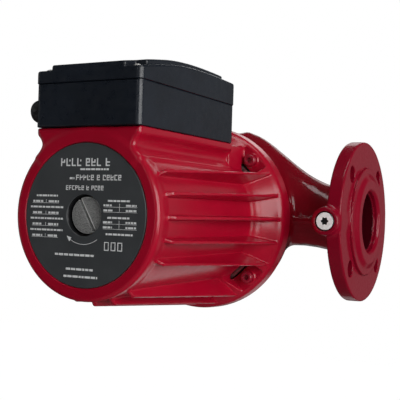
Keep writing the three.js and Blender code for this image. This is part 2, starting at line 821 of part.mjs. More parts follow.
// A closed impeller: back shroud and hub, vanes, and a front shroud with the eye ring.
function makeImpeller() {
  const backY = -46.5;
  const ringEndY = -5.5;
  const backShroud = turned([
    [SHAFT_RADIUS, backY],
    [IMPELLER_RADIUS, backY],
    [IMPELLER_RADIUS, backY + 3],
    [22, backY + 4.5],
    [13, backY + 10.5],
    [11, HUB_FRONT_Y],
    [SHAFT_RADIUS, HUB_FRONT_Y],
  ]);
  const frontShroud = turned([
    [IMPELLER_RADIUS, -24],
    [IMPELLER_RADIUS, -21.5],
    [30, -17.5],
    [EYE_NECK_RADIUS, -15],
    [EYE_NECK_RADIUS, ringEndY],
    [EYE_BORE, ringEndY],
    [EYE_BORE, -16],
    [26, -21],
  ]);
  const vanes = Array.from({ length: VANES }, (_, i) =>
    extrudeAlongY(vaneShape((i * 360 * DEG) / VANES), -44, -22.5, 4),
  );
  const bladed = join(frontShroud, ...vanes);
  return join(cut(bladed, drum(EYE_BORE, backY + 1, ringEndY + 1, FINE)), backShroud);
}

function makeImpellerNut() {
  const from = HUB_FRONT_Y + 0.4;
  const to = from + 7.6;
  return cut(drum(9, from, to, 6), drum(5, from - 1, to + 1, COARSE));
}

// ---- Vent plug ----

function makeVentPlug() {
  const shankRadius = 10.1;
  const headBackY = VENT_FACE_Y + 3.5;
  const tipY = VENT_FACE_Y + 17.5;
  const body = turned(
    [
      [0, VENT_FACE_Y],
      [VENT_PLUG_RADIUS - 0.65, VENT_FACE_Y],
      [VENT_PLUG_RADIUS, VENT_FACE_Y + 0.7],
      [VENT_PLUG_RADIUS, headBackY],
      [shankRadius, headBackY],
      [shankRadius, tipY],
      [0, tipY],
    ],
    MEDIUM,
  );
  const slot = [
    [-VENT_PLUG_RADIUS - 1, VENT_FACE_Y - 1],
    [VENT_PLUG_RADIUS + 1, VENT_FACE_Y - 1],
    [VENT_PLUG_RADIUS + 1, VENT_FACE_Y + 2.2],
    [-VENT_PLUG_RADIUS - 1, VENT_FACE_Y + 2.2],
  ];
  return cut(body, radialPlate(slot, 2, -60));
}

function makeVentRing() {
  const from = VENT_FACE_Y + 3.8;
  const to = VENT_FACE_Y + 5.2;
  return turned(
    [
      [10.4, from],
      [13, from],
      [13, to],
      [10.4, to],
    ],
    MEDIUM,
  );
}

// ---- Terminal box ----

function cornerPost(x, y, fromZ, toZ) {
  return block([x - POST_HALF, x + POST_HALF], [y - POST_HALF, y + POST_HALF], [fromZ, toZ]);
}

// The box's outline seen from above, drawn in by `inset`.
function boxPlan(inset) {
  const corner = inset > 0 ? BOX_CORNER - 2 : BOX_CORNER;
  return roundedRectangle(BOX_HALF - inset, BOX_FRONT_Y + inset, BOX_BACK_Y - inset, corner);
}

function makeTerminalBox() {
  const outer = upright(boxPlan(0), BOX_FLOOR_Z, BOX_TOP_Z);
  const inner = upright(boxPlan(BOX_WALL), BOX_FLOOR_Z + BOX_WALL, BOX_TOP_Z + 1);
  const posts = LID_SCREWS.map(([x, y]) => cornerPost(x, y, BOX_FLOOR_Z + 1, BOX_TOP_Z));
  return cut(
    join(cut(outer, inner), ...posts),
    ...LID_SCREWS.map(([x, y]) => post(LID_SCREW_HOLE, x, y, BOX_TOP_Z - 16, BOX_TOP_Z + 1)),
    ...BOX_SCREWS.map(([x, y]) => post(2.9, x, y, BOX_FLOOR_Z - 1, BOX_FLOOR_Z + BOX_WALL + 1, 10)),
    post(LEAD_HOLE_RADIUS, 0, LEAD_HOLE_Y, BOX_FLOOR_Z - 1, BOX_FLOOR_Z + BOX_WALL + 1),
    pin(GLAND_HOLE_RADIUS, -BOX_HALF - 1, -BOX_HALF + BOX_WALL + 1, GLAND_Y, GLAND_Z, 32),
  );
}

// The lid's side view: low at the front edge, rising to a nearly flat back, raised by `lift`.
function lidProfile(lift, inset) {
  const front = BOX_FRONT_Y + inset;
  const back = BOX_BACK_Y - inset;
  const shape = new THREE.Shape();
  shape.moveTo(front, LID_BASE_Z - 1);
  shape.lineTo(back, LID_BASE_Z - 1);
  shape.lineTo(back, 112.2 + lift);
  shape.bezierCurveTo(-120, 113.4 + lift, -165, 115 + lift, -198, 109.5 + lift);
  shape.bezierCurveTo(-212, 107.4 + lift, -224, 105.2 + lift, front, 103 + lift);
  return shape;
}

// Everything under the lid's side view, wider than the lid.
const lidSlab = (lift, inset) => extrudeAlongX(lidProfile(lift, inset), 100, 6);

function lidPanelShape() {
  const edge = BOX_HALF - 4;
  const notch = 31.5;
  const front = BOX_FRONT_Y;
  const frontNotch = -222;
  const back = -103;
  return polygon([
    [-notch, front],
    [notch, front],
    [notch, frontNotch],
    [edge, frontNotch],
    [edge, back],
    [-edge, back],
    [-edge, frontNotch],
    [-notch, frontNotch],
  ]);
}

function makeBoxLid() {
  const above = 125; // clear of the lid's highest point
  const shell = upright(boxPlan(0), LID_BASE_Z, above).intersect(lidSlab(0, 0));
  const panel = upright(lidPanelShape(), 98, above).intersect(lidSlab(LID_PANEL_HEIGHT, 0));
  const cavity = upright(boxPlan(LID_WALL), LID_BASE_Z - 1, above).intersect(lidSlab(-LID_WALL, 1));
  const posts = LID_SCREWS.map(([x, y, seat]) => cornerPost(x, y, LID_BASE_Z, seat - 0.5));
  return cut(
    join(cut(join(shell, panel), cavity), ...posts),
    ...LID_SCREWS.map(([x, y]) => post(LID_SCREW_HOLE, x, y, LID_BASE_Z - 1, above)),
    ...LID_SCREWS.map(([x, y, seat]) => post(LID_SCREW_HEAD + 0.4, x, y, seat, above, 10)),
  );
}

// A seal just inside the joint between box and lid, led round the inside of the four posts.
function makeLidSeal() {
  const clear = 5.2;
  const [postX, frontPostY] = LID_SCREWS[0];
  const backPostY = LID_SCREWS[1][1];
  const outline = (inset) => {
    const half = BOX_HALF - BOX_WALL - 0.4 - inset;
    const notch = postX - clear - inset;
    const front = BOX_FRONT_Y + BOX_WALL + 0.4 + inset;
    const back = BOX_BACK_Y - BOX_WALL - 0.4 - inset;
    const frontNotch = frontPostY + clear + inset;
    const backNotch = backPostY - clear - inset;
    return polygon([
      [-notch, front],
      [notch, front],
      [notch, frontNotch],
      [half, frontNotch],
      [half, backNotch],
      [notch, backNotch],
      [notch, back],
      [-notch, back],
      [-notch, backNotch],
      [-half, backNotch],
      [-half, frontNotch],
      [-notch, frontNotch],
    ]);
  };
  return cut(
    upright(outline(0), BOX_TOP_Z - 2, BOX_TOP_Z + 2),
    upright(outline(1.8), BOX_TOP_Z - 3, BOX_TOP_Z + 3),
  );
}

// A pan-head screw along Z: the head's underside is at z = 0, the shank runs down.
function makePanScrew(radius, length, headRadius = radius * 1.9) {
  const headHeight = radius * 1.25;
  const body = solidOf(
    turnedGeometry(
      [
        [0, -length],
        [radius, -length],
        [radius, 0],
        [headRadius, 0],
        [headRadius, headHeight * 0.45],
        [headRadius * 0.72, headHeight * 0.88],
        [0, headHeight],
      ],
      10,
    ).rotateX(Math.PI / 2),
  );
  const slotFloor = headHeight * 0.45;
  return cut(body, block([-headRadius - 1, headRadius + 1], [-0.5, 0.5], [slotFloor, headHeight + 1]));
}

const terminalX = (i) => (i - (TERMINALS - 1) / 2) * TERMINAL_PITCH;

// A row of terminals with walls between them, on a base that stands on the box's floor.
function makeTerminalBlock() {
  const baseZ = BOX_FLOOR_Z + BOX_WALL + GAP;
  const half = (TERMINALS * TERMINAL_PITCH) / 2 + 1;
  const top = baseZ + BLOCK_HEIGHT;
  const base = block([-half, half], BLOCK_Y, [baseZ, top]);
  const walls = Array.from({ length: TERMINALS + 1 }, (_, i) => {
    const x = terminalX(i) - TERMINAL_PITCH / 2;
    return block([x - 0.9, x + 0.9], BLOCK_Y, [top - 1, top + PARTITION_HEIGHT]);
  });
  const holes = Array.from({ length: TERMINALS }, (_, i) =>
    post(2.1, terminalX(i), BLOCK_MIDDLE_Y, top - 8, top + 1, COARSE),
  );
  return cut(join(base, ...walls), ...holes);
}

// The sleeve that holds the winding leads: up through the floor and forward to the terminals.
function makeLeadSleeve() {
  const path = new THREE.CatmullRomCurve3([
    new THREE.Vector3(0, LEAD_HOLE_Y, 52.5),
    new THREE.Vector3(0, LEAD_HOLE_Y, 60),
    new THREE.Vector3(0, LEAD_HOLE_Y - 1, 68),
    new THREE.Vector3(0, LEAD_HOLE_Y - 8, 74),
    new THREE.Vector3(0, LEAD_HOLE_Y - 22, 75),
  ]);
  const circle = new THREE.Shape();
  circle.absarc(0, 0, 5, 0, 360 * DEG);
  return solidOf(
    new THREE.ExtrudeGeometry(circle, { steps: 9, curveSegments: 5, extrudePath: path, bevelEnabled: false }),
  );
}

// ---- Cable gland, along X at the box's left wall; x = 0 is the wall's outer face, -X is outside ----

function turnedLeft(profile, facets = 16) {
  return solidOf(turnedGeometry(profile, facets).rotateZ(Math.PI / 2));
}

// The body: a thread through the wall, a hexagon flange outside, and a thread for the nut.
function makeGlandBody() {
  const thread = turnedLeft([
    [5.4, -10],
    [7.8, -10],
    [7.8, 1],
    [7.2, 1],
    [7.2, 11.5],
    [5.4, 11.5],
  ]);
  const hexagon = cut(pin(12, -5.2, -GAP, 0, 0, 6), pin(6.5, -6, 0, 0, 0, COARSE));
  return join(thread, hexagon);
}

function makeGlandLocknut() {
  const from = BOX_WALL + GAP;
  return cut(pin(11, from, from + 4, 0, 0, 6), pin(GLAND_HOLE_RADIUS + 0.1, from - 1, from + 5, 0, 0, 16));
}

// The domed clamping nut.
const makeGlandNut = () =>
  turnedLeft([
    [7.8, 5.6],
    [9.6, 5.6],
    [9.6, 14.6],
    [8.6, 18],
    [6.4, 19.8],
    [4.4, 19.8],
    [4.4, 15.4],
    [7.8, 13],
  ]);

const makeGlandSeal = () =>
  turnedLeft(
    [
      [0, -6],
      [4.9, -6],
      [4.9, 11.6],
      [4.0, 14.6],
      [4.0, 19],
      [0, 19],
    ],
    COARSE,
  );

// ---- Materials ----

const finish = (metalness) => (color, roughness) => () =>
  new THREE.MeshStandardMaterial({ color, roughness, metalness });
const paint = finish(0.1);
const metal = finish(1);
const plastic = finish(0);

const motorPaint = paint(0x8e0a22, 0.35);
const castPaint = paint(0x6b0a1e, 0.55);
const steel = metal(0xb9bcc0, 0.3);
const zinc = metal(0xdcdcda, 0.35);
const stainless = metal(0xa8abae, 0.25);
const lamination = metal(0x55585c, 0.55);
const copper = metal(0xa4552c, 0.45);
const brass = metal(0xb8924a, 0.4);
const carbon = plastic(0x25262a, 0.6);
const rubber = plastic(0x18181a, 0.85);
const blackPlastic = plastic(0x14161a, 0.35);
const platePrint = plastic(0x202124, 0.45);
const blockPlastic = plastic(0xb9bab4, 0.6);
const sleeving = plastic(0x8b1f1c, 0.75);
const nickel = metal(0xd6d7d8, 0.2);

// ---- Assembly ----

const pump = new THREE.Group();

function place(name, solid, material, [x, y, z] = [0, 0, 0], [turnX, turnY, turnZ] = [0, 0, 0]) {
  const mesh = new THREE.Mesh(geometryOf(solid), material());
  mesh.name = name;
  mesh.position.set(x, y, z);
  mesh.rotation.set(turnX, turnY, turnZ);
  pump.add(mesh);
}

place("pump_housing", makePumpHousing(), castPaint);
place("wear_ring", makeWearRing(), brass);
place("housing_gasket", makeHousingGasket(), rubber);
place("gauge_plug_outlet", makeGaugePlug(), zinc, [TAPPING_X, TAPPING_FACE_Y, 0]);
place("gauge_plug_inlet", makeGaugePlug(), zinc, [-TAPPING_X, TAPPING_FACE_Y, 0]);

place("motor_housing", makeMotorHousing(), motorPaint);
place("name_plate", makeNamePlate(), platePrint);
SCREW_ANGLES.forEach((angle, i) => {
  const at = [SCREW_CIRCLE * Math.cos(angle * DEG), SCREW_SEAT_Y - GAP, SCREW_CIRCLE * Math.sin(angle * DEG)];
  place(`motor_screw_${i + 1}`, makeCapScrew(MOTOR_SCREW_RADIUS, MOTOR_SCREW_LENGTH), motorPaint, at);
});

place("stator_can", makeStatorCan(), stainless);
place("front_bearing_holder", makeFrontBearingHolder(), brass);
place("front_bearing", makeBush(FRONT_BUSH_Y), carbon);
place("rear_bearing", makeBush(REAR_BUSH_Y), carbon);
place("bearing_plate", makeBearingPlate(), stainless);
place("stator_core", makeStatorCore(), lamination);
place("winding_front", makeWinding(WINDING_FRONT_Y, CORE_FRONT_Y - GAP), copper);
place("winding_rear", makeWinding(CORE_BACK_Y + GAP, WINDING_BACK_Y), copper);
place("rotor_core", makeRotorCore(), stainless);
place("shaft", makeShaft(), steel);
place("thrust_ring", makeThrustRing(), carbon);
place("impeller", makeImpeller(), stainless);
place("impeller_nut", makeImpellerNut(), brass);

place("vent_plug", makeVentPlug(), stainless);
place("vent_o_ring", makeVentRing(), rubber);

place("terminal_box", makeTerminalBox(), blackPlastic);
place("box_lid", makeBoxLid(), blackPlastic);
place("lid_seal", makeLidSeal(), rubber);
LID_SCREWS.forEach(([x, y, seat], i) => {
  const screw = makePanScrew(2, seat - BOX_TOP_Z + 12, LID_SCREW_HEAD);
  place(`lid_screw_${i + 1}`, screw, nickel, [x, y, seat + GAP]);
});
BOX_SCREWS.forEach(([x, y], i) => {
  place(`box_screw_${i + 1}`, makePanScrew(2.4, 11), steel, [x, y, BOX_FLOOR_Z + BOX_WALL + GAP]);
});
place("terminal_block", makeTerminalBlock(), blockPlastic);
for (let i = 0; i < TERMINALS; i++) {
  const at = [terminalX(i), BLOCK_MIDDLE_Y, BOX_FLOOR_Z + BOX_WALL + BLOCK_HEIGHT + 2 * GAP];
  place(`terminal_screw_${i + 1}`, makePanScrew(1.7, 7), nickel, at);
}
place("lead_sleeve", makeLeadSleeve(), sleeving);
place("gland_body", makeGlandBody(), blackPlastic, [-BOX_HALF, GLAND_Y, GLAND_Z]);
place("gland_locknut", makeGlandLocknut(), blackPlastic, [-BOX_HALF, GLAND_Y, GLAND_Z]);
place("gland_nut", makeGlandNut(), blackPlastic, [-BOX_HALF, GLAND_Y, GLAND_Z]);
place("gland_seal", makeGlandSeal(), rubber, [-BOX_HALF, GLAND_Y, GLAND_Z]);

export default pump;
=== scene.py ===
"""The looks of a flanged in-line circulator pump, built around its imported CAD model.

The pipe axis is X and the motor axis is Y, with the motor's front at -Y and +Z up. Shapes are
written as signed distance fields in millimetres, negative inside, and each one becomes a mesh in
metres in make_piece(). A field takes three arrays (x, y, z), which may be broadcast against each
other, and returns the distance at each point.
"""

import math
from concurrent.futures import ThreadPoolExecutor

import bpy
import numpy as np
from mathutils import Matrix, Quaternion, Vector


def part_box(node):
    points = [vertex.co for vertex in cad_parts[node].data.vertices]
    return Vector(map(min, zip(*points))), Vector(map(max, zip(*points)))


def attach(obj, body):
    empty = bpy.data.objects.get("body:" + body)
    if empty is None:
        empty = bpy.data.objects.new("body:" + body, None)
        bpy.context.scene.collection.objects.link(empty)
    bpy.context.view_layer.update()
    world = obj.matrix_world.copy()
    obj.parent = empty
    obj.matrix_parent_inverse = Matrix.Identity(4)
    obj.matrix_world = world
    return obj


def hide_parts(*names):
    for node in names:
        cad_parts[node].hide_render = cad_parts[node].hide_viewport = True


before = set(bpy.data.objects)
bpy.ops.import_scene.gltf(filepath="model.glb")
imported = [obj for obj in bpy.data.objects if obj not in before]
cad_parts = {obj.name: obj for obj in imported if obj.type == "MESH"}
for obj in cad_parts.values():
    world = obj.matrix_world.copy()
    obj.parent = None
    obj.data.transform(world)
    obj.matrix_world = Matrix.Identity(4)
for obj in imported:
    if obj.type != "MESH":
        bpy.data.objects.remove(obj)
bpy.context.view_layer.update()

MM = 0.001
THREADS = 4
DETAIL = 1.0  # cells grow by this much while trying things
SMOOTH_BELOW = math.radians(32)  # flatter joints between faces are shaded smooth


def corners(node):
    """A CAD node's lowest and highest corner, in millimetres."""
    low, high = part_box(node)
    return low / MM, high / MM


def centre(node):
    """The middle of a CAD node's box, in millimetres."""
    return [(a + b) / 2 for a, b in zip(*corners(node))]


# ---- Driving dimensions, in millimetres ----

GAP = 0.3  # the CAD's gap between pieces that touch
MOTOR_LOW, MOTOR_HIGH = corners("motor_housing")
BOX_LOW, BOX_HIGH = corners("terminal_box")
LID_BASE_Z = corners("box_lid")[0].z

PORT_FACE_X = corners("pump_housing")[1].x
PORT_RADIUS = 26
FLANGE_RADIUS = 70
FLANGE_BACK_X = PORT_FACE_X - 18.2
FLANGE_FRONT_X = PORT_FACE_X - 5.8
FLANGE_STEP_RADIUS = 47
FLANGE_STEP_X = PORT_FACE_X - 3
RAISED_FACE_RADIUS = 36.5
FLANGE_HOLE_RADIUS = 7
FLANGE_HOLE_CIRCLE = 56
NECK_RADIUS = 28.6
NECK_WALL = 3.6
NECK_END_X = FLANGE_BACK_X + 2  # inside the flange
OUTLET_START_X = 26  # where the outlet neck leaves the volute
OUTLET_GROWTH_Z = 26  # how much taller it is there
OUTLET_HALF_Y = 25
OUTLET_SHIFT_Y = -18
OUTLET_SHIFT_Z = 24

HOUSING_FACE_Y = MOTOR_HIGH.y + GAP
VOLUTE_RADIUS = 77.5
VOLUTE_BACK_Y = 6
VOLUTE_SHOULDER_Y = -31  # it tapers behind here
VOLUTE_RIM = 1.5  # how far its front rim stands out
VOLUTE_RIM_WIDTH = 4
VOLUTE_PAD_LOW = (-28, HOUSING_FACE_Y, 60)
VOLUTE_PAD_HIGH = (28, -18, 76.6)
CHANNEL_RADIUS = 51  # of the spiral channel's centre line
CHANNEL_Y = -15
CHANNEL_START = 17  # its section's radius at its start and at the outlet
CHANNEL_END = 25
CHAMBER_RADIUS = 66
CHAMBER_FRONT_Y = -41
CHAMBER_BACK_Y = -12
SPIGOT_RADIUS = 63
SPIGOT_BORE = 58.5
SPIGOT_FRONT_Y = -52.5
EYE_SEAT_RADIUS = 27
BEND_CENTRE_Y = 31
BEND_RADIUS = 31
BEND_BORE = 26

PLUG_SINK = 0.6  # how far a gauge plug's head lies below the boss
TAPPING_X = centre("gauge_plug_outlet")[0]
TAPPING_FACE_Y = corners("gauge_plug_outlet")[0].y - PLUG_SINK
TAPPING_BOSS_RADIUS = 11.6
TAPPING_PLUG_RADIUS = 7.2
TAPPING_THREAD_RADIUS = 5.2
TAPPING_SEAT_DEPTH = 3.5
TAPPING_DEPTH = 56  # through the boss into the bore
SOCKET_RADIUS = 2.9  # of the plug's six-lobed socket
SOCKET_LOBE = 0.4

MOTOR_FRONT_Y = MOTOR_LOW.y
MOTOR_BACK_Y = MOTOR_HIGH.y
BODY_RADIUS = 60
ROOT_RADIUS = BODY_RADIUS - 8  # where ribs and rings start, inside the barrel's wall
FRONT_RING_RADIUS = 61.2
BODY_BORE = 51.5
BORE_FRONT_Y = -218
SEAT_BORE = 63.4
SEAT_FRONT_Y = -64
RING_RADIUS = -MOTOR_LOW.z
RING_FRONT_RADIUS = RING_RADIUS - 2.9
RING_FRONT_Y = -60
CONE_FRONT_Y = -79
RIB_PITCH = 15  # degrees
RIB_FRONT_Y = -222
RIB_FRONT_RADIUS = 65.5
SCREW_CIRCLE = 71
SCREW_SEAT_Y = -61
SCREW_RADIUS = 3
SCREW_LENGTH = 26
SCREW_HOLE_END_Y = -34
SCREW_HEAD = 4.8
SCREW_PAD_RADIUS = 6
PLATE_RADIUS = corners("name_plate")[1].x
PLATE_RECESS_Y = MOTOR_FRONT_Y + 1.3
VENT_BORE = 14.75
VENT_PLUG_RADIUS = 13.15
VENT_THREAD_RADIUS = 10.1
THREAD_PITCH = 1.5
SLOT_ANGLE = math.radians(60)
SLOT_HALF = 1.0

PEDESTAL_HALF = 44.5
PEDESTAL_TOP_Z = BOX_LOW.z - GAP
PEDESTAL_BACK_Y = -87
BOX_HALF = BOX_HIGH.x
BOX_WALL = 3
BOX_CORNER = 4
LID_WALL = 2.6
LID_PANEL_HEIGHT = 3.8
LID_PANEL_BACK_Y = -103
LID_NOTCH_X = 31.5  # the panel is cut back round the front screws
LID_NOTCH_Y = -222
LID_CURVE_RISE = 0.5
LID_OVERHANG = 0.6
LID_JOINT_CLOSING = 0.22  # how much of the CAD gap under the lid is filled
POST_HALF = 4.7
LID_SCREW_HOLE = 2.5
LID_SCREW_DEPTH = 16
LID_SCREW_RADIUS = 2
LID_SCREW_HEAD = 4
BOX_SCREW_HOLE = 2.9
TERMINAL_PITCH = 9
TERMINAL_SCREW_RADIUS = 1.7
GLAND_HOLE_RADIUS = 8.3
GLAND_LOW, GLAND_HIGH = corners("gland_nut")
_, GLAND_Y, GLAND_Z = centre("gland_nut")
LEAD_HOLE_Y = -108
LEAD_HOLE_RADIUS = 8

# ---- Distance fields ----


def hypot(a, b):
    return np.sqrt(a * a + b * b)


def union(first, *rest, blend=0.0):
    """The parts together, with a fillet where they meet."""
    for other in rest:
        nearest = np.minimum(first, other)
        if blend:
            overlap = np.maximum(blend - np.abs(first - other), 0)
            nearest = nearest - overlap * overlap / (4 * blend)
        first = nearest
    return first


def common(*parts, blend=0.0):
    """What the parts share, with its edges rounded."""
    return -union(*(-part for part in parts), blend=blend)


def carve(solid, *holes, blend=0.8):
    return common(solid, *(-hole for hole in holes), blend=blend)


def rectangle(u, v, half_u, half_v, edge):
    """A rectangle about the origin with round corners."""
    a = np.abs(u) - (half_u - edge)
    b = np.abs(v) - (half_v - edge)
    return hypot(np.maximum(a, 0), np.maximum(b, 0)) + np.minimum(np.maximum(a, b), 0) - edge


def disc(radius_at, along, radius, start, end, edge=0.8):
    """A disc or drum from start to end, where radius_at is the distance from its axis."""
    return rectangle(radius_at, along - (start + end) / 2, radius, (end - start) / 2, edge)


def span(value, start, end):
    return np.abs(value - (start + end) / 2) - (end - start) / 2


def block(p, low, high, edge=0.8):
    """A box between two corners with round edges."""
    outside, inside = 0.0, None
    for value, start, end in zip(p, low, high):
        side = np.abs(value - (start + end) / 2) - ((end - start) / 2 - edge)
        outside = outside + np.maximum(side, 0) ** 2
        inside = side if inside is None else np.maximum(inside, side)
    return np.sqrt(outside) + np.minimum(inside, 0) - edge


def outline(u, v, points, blend=1.2):
    """A convex outline, anticlockwise, with its corners rounded."""
    sides = []
    for (u0, v0), (u1, v1) in zip(points, points[1:] + points[:1]):
        length = math.hypot(u1 - u0, v1 - v0)
        sides.append(((u - u0) * (v1 - v0) - (v - v0) * (u1 - u0)) / length)
    return common(*sides, blend=blend)


def turned(radius, along, points, inner=0, blend=1.2):
    """A turned body under a profile of (radius, along) points, down to its inner radius."""
    first, last = (inner, points[0][1]), (inner, points[-1][1])
    return outline(radius, along, [first, *points, last], blend)


def hexagon(u, v, corner_radius):
    a, b = np.abs(u), np.abs(v)
    return np.maximum(a * math.cos(math.pi / 6) + b * 0.5, b) - corner_radius * math.cos(math.pi / 6)


def smooth_step(t):
    t = np.clip(t, 0, 1)
    return t * t * (3 - 2 * t)


def mix(a, b, t):
    return a + (b - a) * t


def cast_skin(p, height, wavelength):
    """A slow unevenness, as a sand-cast surface has."""
    x, y, z = (value * (2 * math.pi / wavelength) for value in p)
    along_x = np.sin(x + 1.7 * np.sin(0.7 * y))
    along_y = np.sin(1.13 * y + 0.9 * np.sin(0.8 * z))
    return height * (along_x * along_y * np.sin(0.93 * z + 1.1 * x))


# ---- Meshes from fields ----


def in_slabs(task, count):
    """Runs task(start, stop) over count items in parallel slabs."""
    size = max(1, math.ceil(count / (THREADS * 4)))
    with ThreadPoolExecutor(THREADS) as pool:
        list(pool.map(lambda start: task(start, min(start + size, count)), range(0, count, size)))


def sampled(field, low, high, cell):
    axes = [np.arange(a, b + cell, cell, dtype=np.float32) for a, b in zip(low, high)]
    values = np.empty([len(axis) for axis in axes], np.float32)
    x, y, z = axes[0][:, None, None], axes[1][None, :, None], axes[2][None, None, :]

    def fill(start, stop):
        values[start:stop] = field((x[start:stop], y, z))

    in_slabs(fill, len(axes[0]))
    return values


CORNERS = [(i, j, k) for i in (0, 1) for j in (0, 1) for k in (0, 1)]
CELL_EDGES = [
    (a, b)
    for a in range(8)
    for b in range(a + 1, 8)
    if sum(abs(i - j) for i, j in zip(CORNERS[a], CORNERS[b])) == 1
]


def surface_net(values, low, cell):
    """One vertex in each cell that the surface crosses, and one quad across each crossed grid edge."""
    inside = values < 0
    shape = [n - 1 for n in values.shape]
    count = np.zeros(shape, np.uint8)
    for i, j, k in CORNERS:
        count += inside[i : i + shape[0], j : j + shape[1], k : k + shape[2]]
    cells = np.argwhere((count > 0) & (count < 8))
    number = np.full(shape, -1, np.int32)
    number[tuple(cells.T)] = np.arange(len(cells), dtype=np.int32)

    at = [values[tuple((cells + corner).T)] for corner in CORNERS]
    total, crossed = np.zeros((len(cells), 3), np.float32), np.zeros(len(cells), np.float32)
    for a, b in CELL_EDGES:
        crosses = (at[a] < 0) != (at[b] < 0)
        gap = np.where(crosses, at[a] - at[b], 1)
        share = np.where(crosses, at[a] / gap, 0)
        step = np.array(CORNERS[b], np.float32) - CORNERS[a]
        total += np.where(crosses[:, None], CORNERS[a] + share[:, None] * step, 0)
        crossed += crosses
    points = (cells + total / crossed[:, None]) * cell + np.array(low, np.float32)

    quads = []
    for axis in range(3):
        second, third = (axis + 1) % 3, (axis + 2) % 3
        start, stop = [slice(None)] * 3, [slice(None)] * 3
        start[axis], stop[axis] = slice(None, -1), slice(1, None)
        for grid in (start, stop):
            grid[second] = grid[third] = slice(1, -1)
        first_in, last_in = inside[tuple(start)], inside[tuple(stop)]
        edges = np.argwhere(first_in != last_in)
        outward = first_in[tuple(edges.T)]
        edges[:, [second, third]] += 1
        ring = []
        for back_second, back_third in ((1, 1), (0, 1), (0, 0), (1, 0)):
            around = edges.copy()
            around[:, second] -= back_second
            around[:, third] -= back_third
            ring.append(number[tuple(around.T)])
        ring = np.stack(ring, 1)
        quads.append(np.where(outward[:, None], ring, ring[:, ::-1]))
    return points, np.concatenate(quads)


SLOPE_STEPS = np.array([(1, -1, -1), (-1, -1, 1), (-1, 1, -1), (1, 1, 1)], np.float32)


def distance_and_slope(field, points, step):
    """The field and its unit gradient at each point, from four samples round it."""
    distance, slope = np.zeros(len(points), np.float32), np.zeros((len(points), 3), np.float32)

    def fill(start, stop):
        for offset in SLOPE_STEPS:
            value = field(tuple((points[start:stop] + offset * step).T))
            distance[start:stop] += value / 4
            slope[start:stop] += value[:, None] * offset

    in_slabs(fill, len(points))
    return distance, slope / np.maximum(np.linalg.norm(slope, axis=1), 1e-9)[:, None]


def settled(field, points, cell, rounds=2):
    """Moves the points onto the surface."""
    for _ in range(rounds):
        distance, slope = distance_and_slope(field, points, cell * 0.1)
        points = points - slope * np.clip(distance, -cell, cell)[:, None]
    return points


def mesh_from(points, faces, name):
    mesh = bpy.data.meshes.new(name)
    mesh.vertices.add(len(points))
    mesh.vertices.foreach_set("co", np.asarray(points, np.float32).ravel())
    sides = faces.shape[1]
    mesh.loops.add(faces.size)
    mesh.loops.foreach_set("vertex_index", faces.ravel().astype(np.int32))
    mesh.polygons.add(len(faces))
    mesh.polygons.foreach_set("loop_start", np.arange(0, faces.size, sides, dtype=np.int32))
    mesh.update(calc_edges=True)
    mesh.validate()
    return mesh


def shade_smooth(mesh):
    """Smooth shading, but for the sharper joints between faces."""
    mesh.polygons.foreach_set("use_smooth", np.ones(len(mesh.polygons), bool))
    mesh.set_sharp_from_angle(angle=SMOOTH_BELOW)


def new_object(name, data):
    made = bpy.data.objects.new(name, data)
    bpy.context.scene.collection.objects.link(made)
    return made


def thinned(mesh, most_triangles):
    """The mesh with its flat stretches in fewer triangles."""
    triangles = 2 * len(mesh.polygons)
    if triangles <= most_triangles:
        return mesh
    holder = new_object("thinning", mesh)
    modifier = holder.modifiers.new("thin", "DECIMATE")
    modifier.ratio = most_triangles / triangles
    evaluated = holder.evaluated_get(bpy.context.evaluated_depsgraph_get())
    made = bpy.data.meshes.new_from_object(evaluated)
    bpy.data.objects.remove(holder)
    bpy.data.meshes.remove(mesh)
    return made


def grown(low, high, margin):
    """A box between two corners with a margin all round."""
    return [value - margin for value in low], [value + margin for value in high]


def field_mesh(name, field, low, high, cell, most_triangles):
    cell *= DETAIL
    low, high = grown(low, high, 1.5 * cell)
    points, quads = surface_net(sampled(field, low, high, cell), low, cell)
    points = settled(field, points, cell)
    mesh = thinned(mesh_from(points, quads, name), most_triangles)
    points = np.empty(3 * len(mesh.vertices), np.float32)
    mesh.vertices.foreach_get("co", points)
    points = settled(field, points.reshape(-1, 3), cell, rounds=1)
    normals = distance_and_slope(field, points, cell * 0.1)[1]
    mesh.vertices.foreach_set("co", (points * MM).ravel())
    mesh.polygons.foreach_set("use_smooth", np.ones(len(mesh.polygons), bool))
    mesh.update()
    mesh.normals_split_custom_set_from_vertices(normals)
    mesh.name = name
    return mesh


def add_piece(name, mesh, material, body, slot, stands_for=(), at=(0, 0, 0)):
    piece = new_object(name, mesh)
    piece.location = Vector(at) * MM
    if not mesh.materials:
        mesh.materials.append(material)
    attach(piece, body)
    if stands_for:
        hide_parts(*stands_for)
    return piece


def make_piece(node, field, material, body, slot, cell, margin, most_triangles):
    """A piece that stands for one CAD node and fills its box."""
    mesh = field_mesh(node + "_skin", field, *grown(*corners(node), margin), cell, most_triangles)
    return add_piece(node + "_skin", mesh, material, body, slot, [node])


# ---- Motor housing ----


def screw_corner(x, z):
    """The four screws folded into one: along its radius, and across it."""
    a, b = np.abs(x), np.abs(z)
    return (a + b) * math.sqrt(0.5), (a - b) * math.sqrt(0.5)


def from_screws(x, z):
    """The distance from the nearest motor screw's axis."""
    along, across = screw_corner(x, z)
    return hypot(along - SCREW_CIRCLE, across)


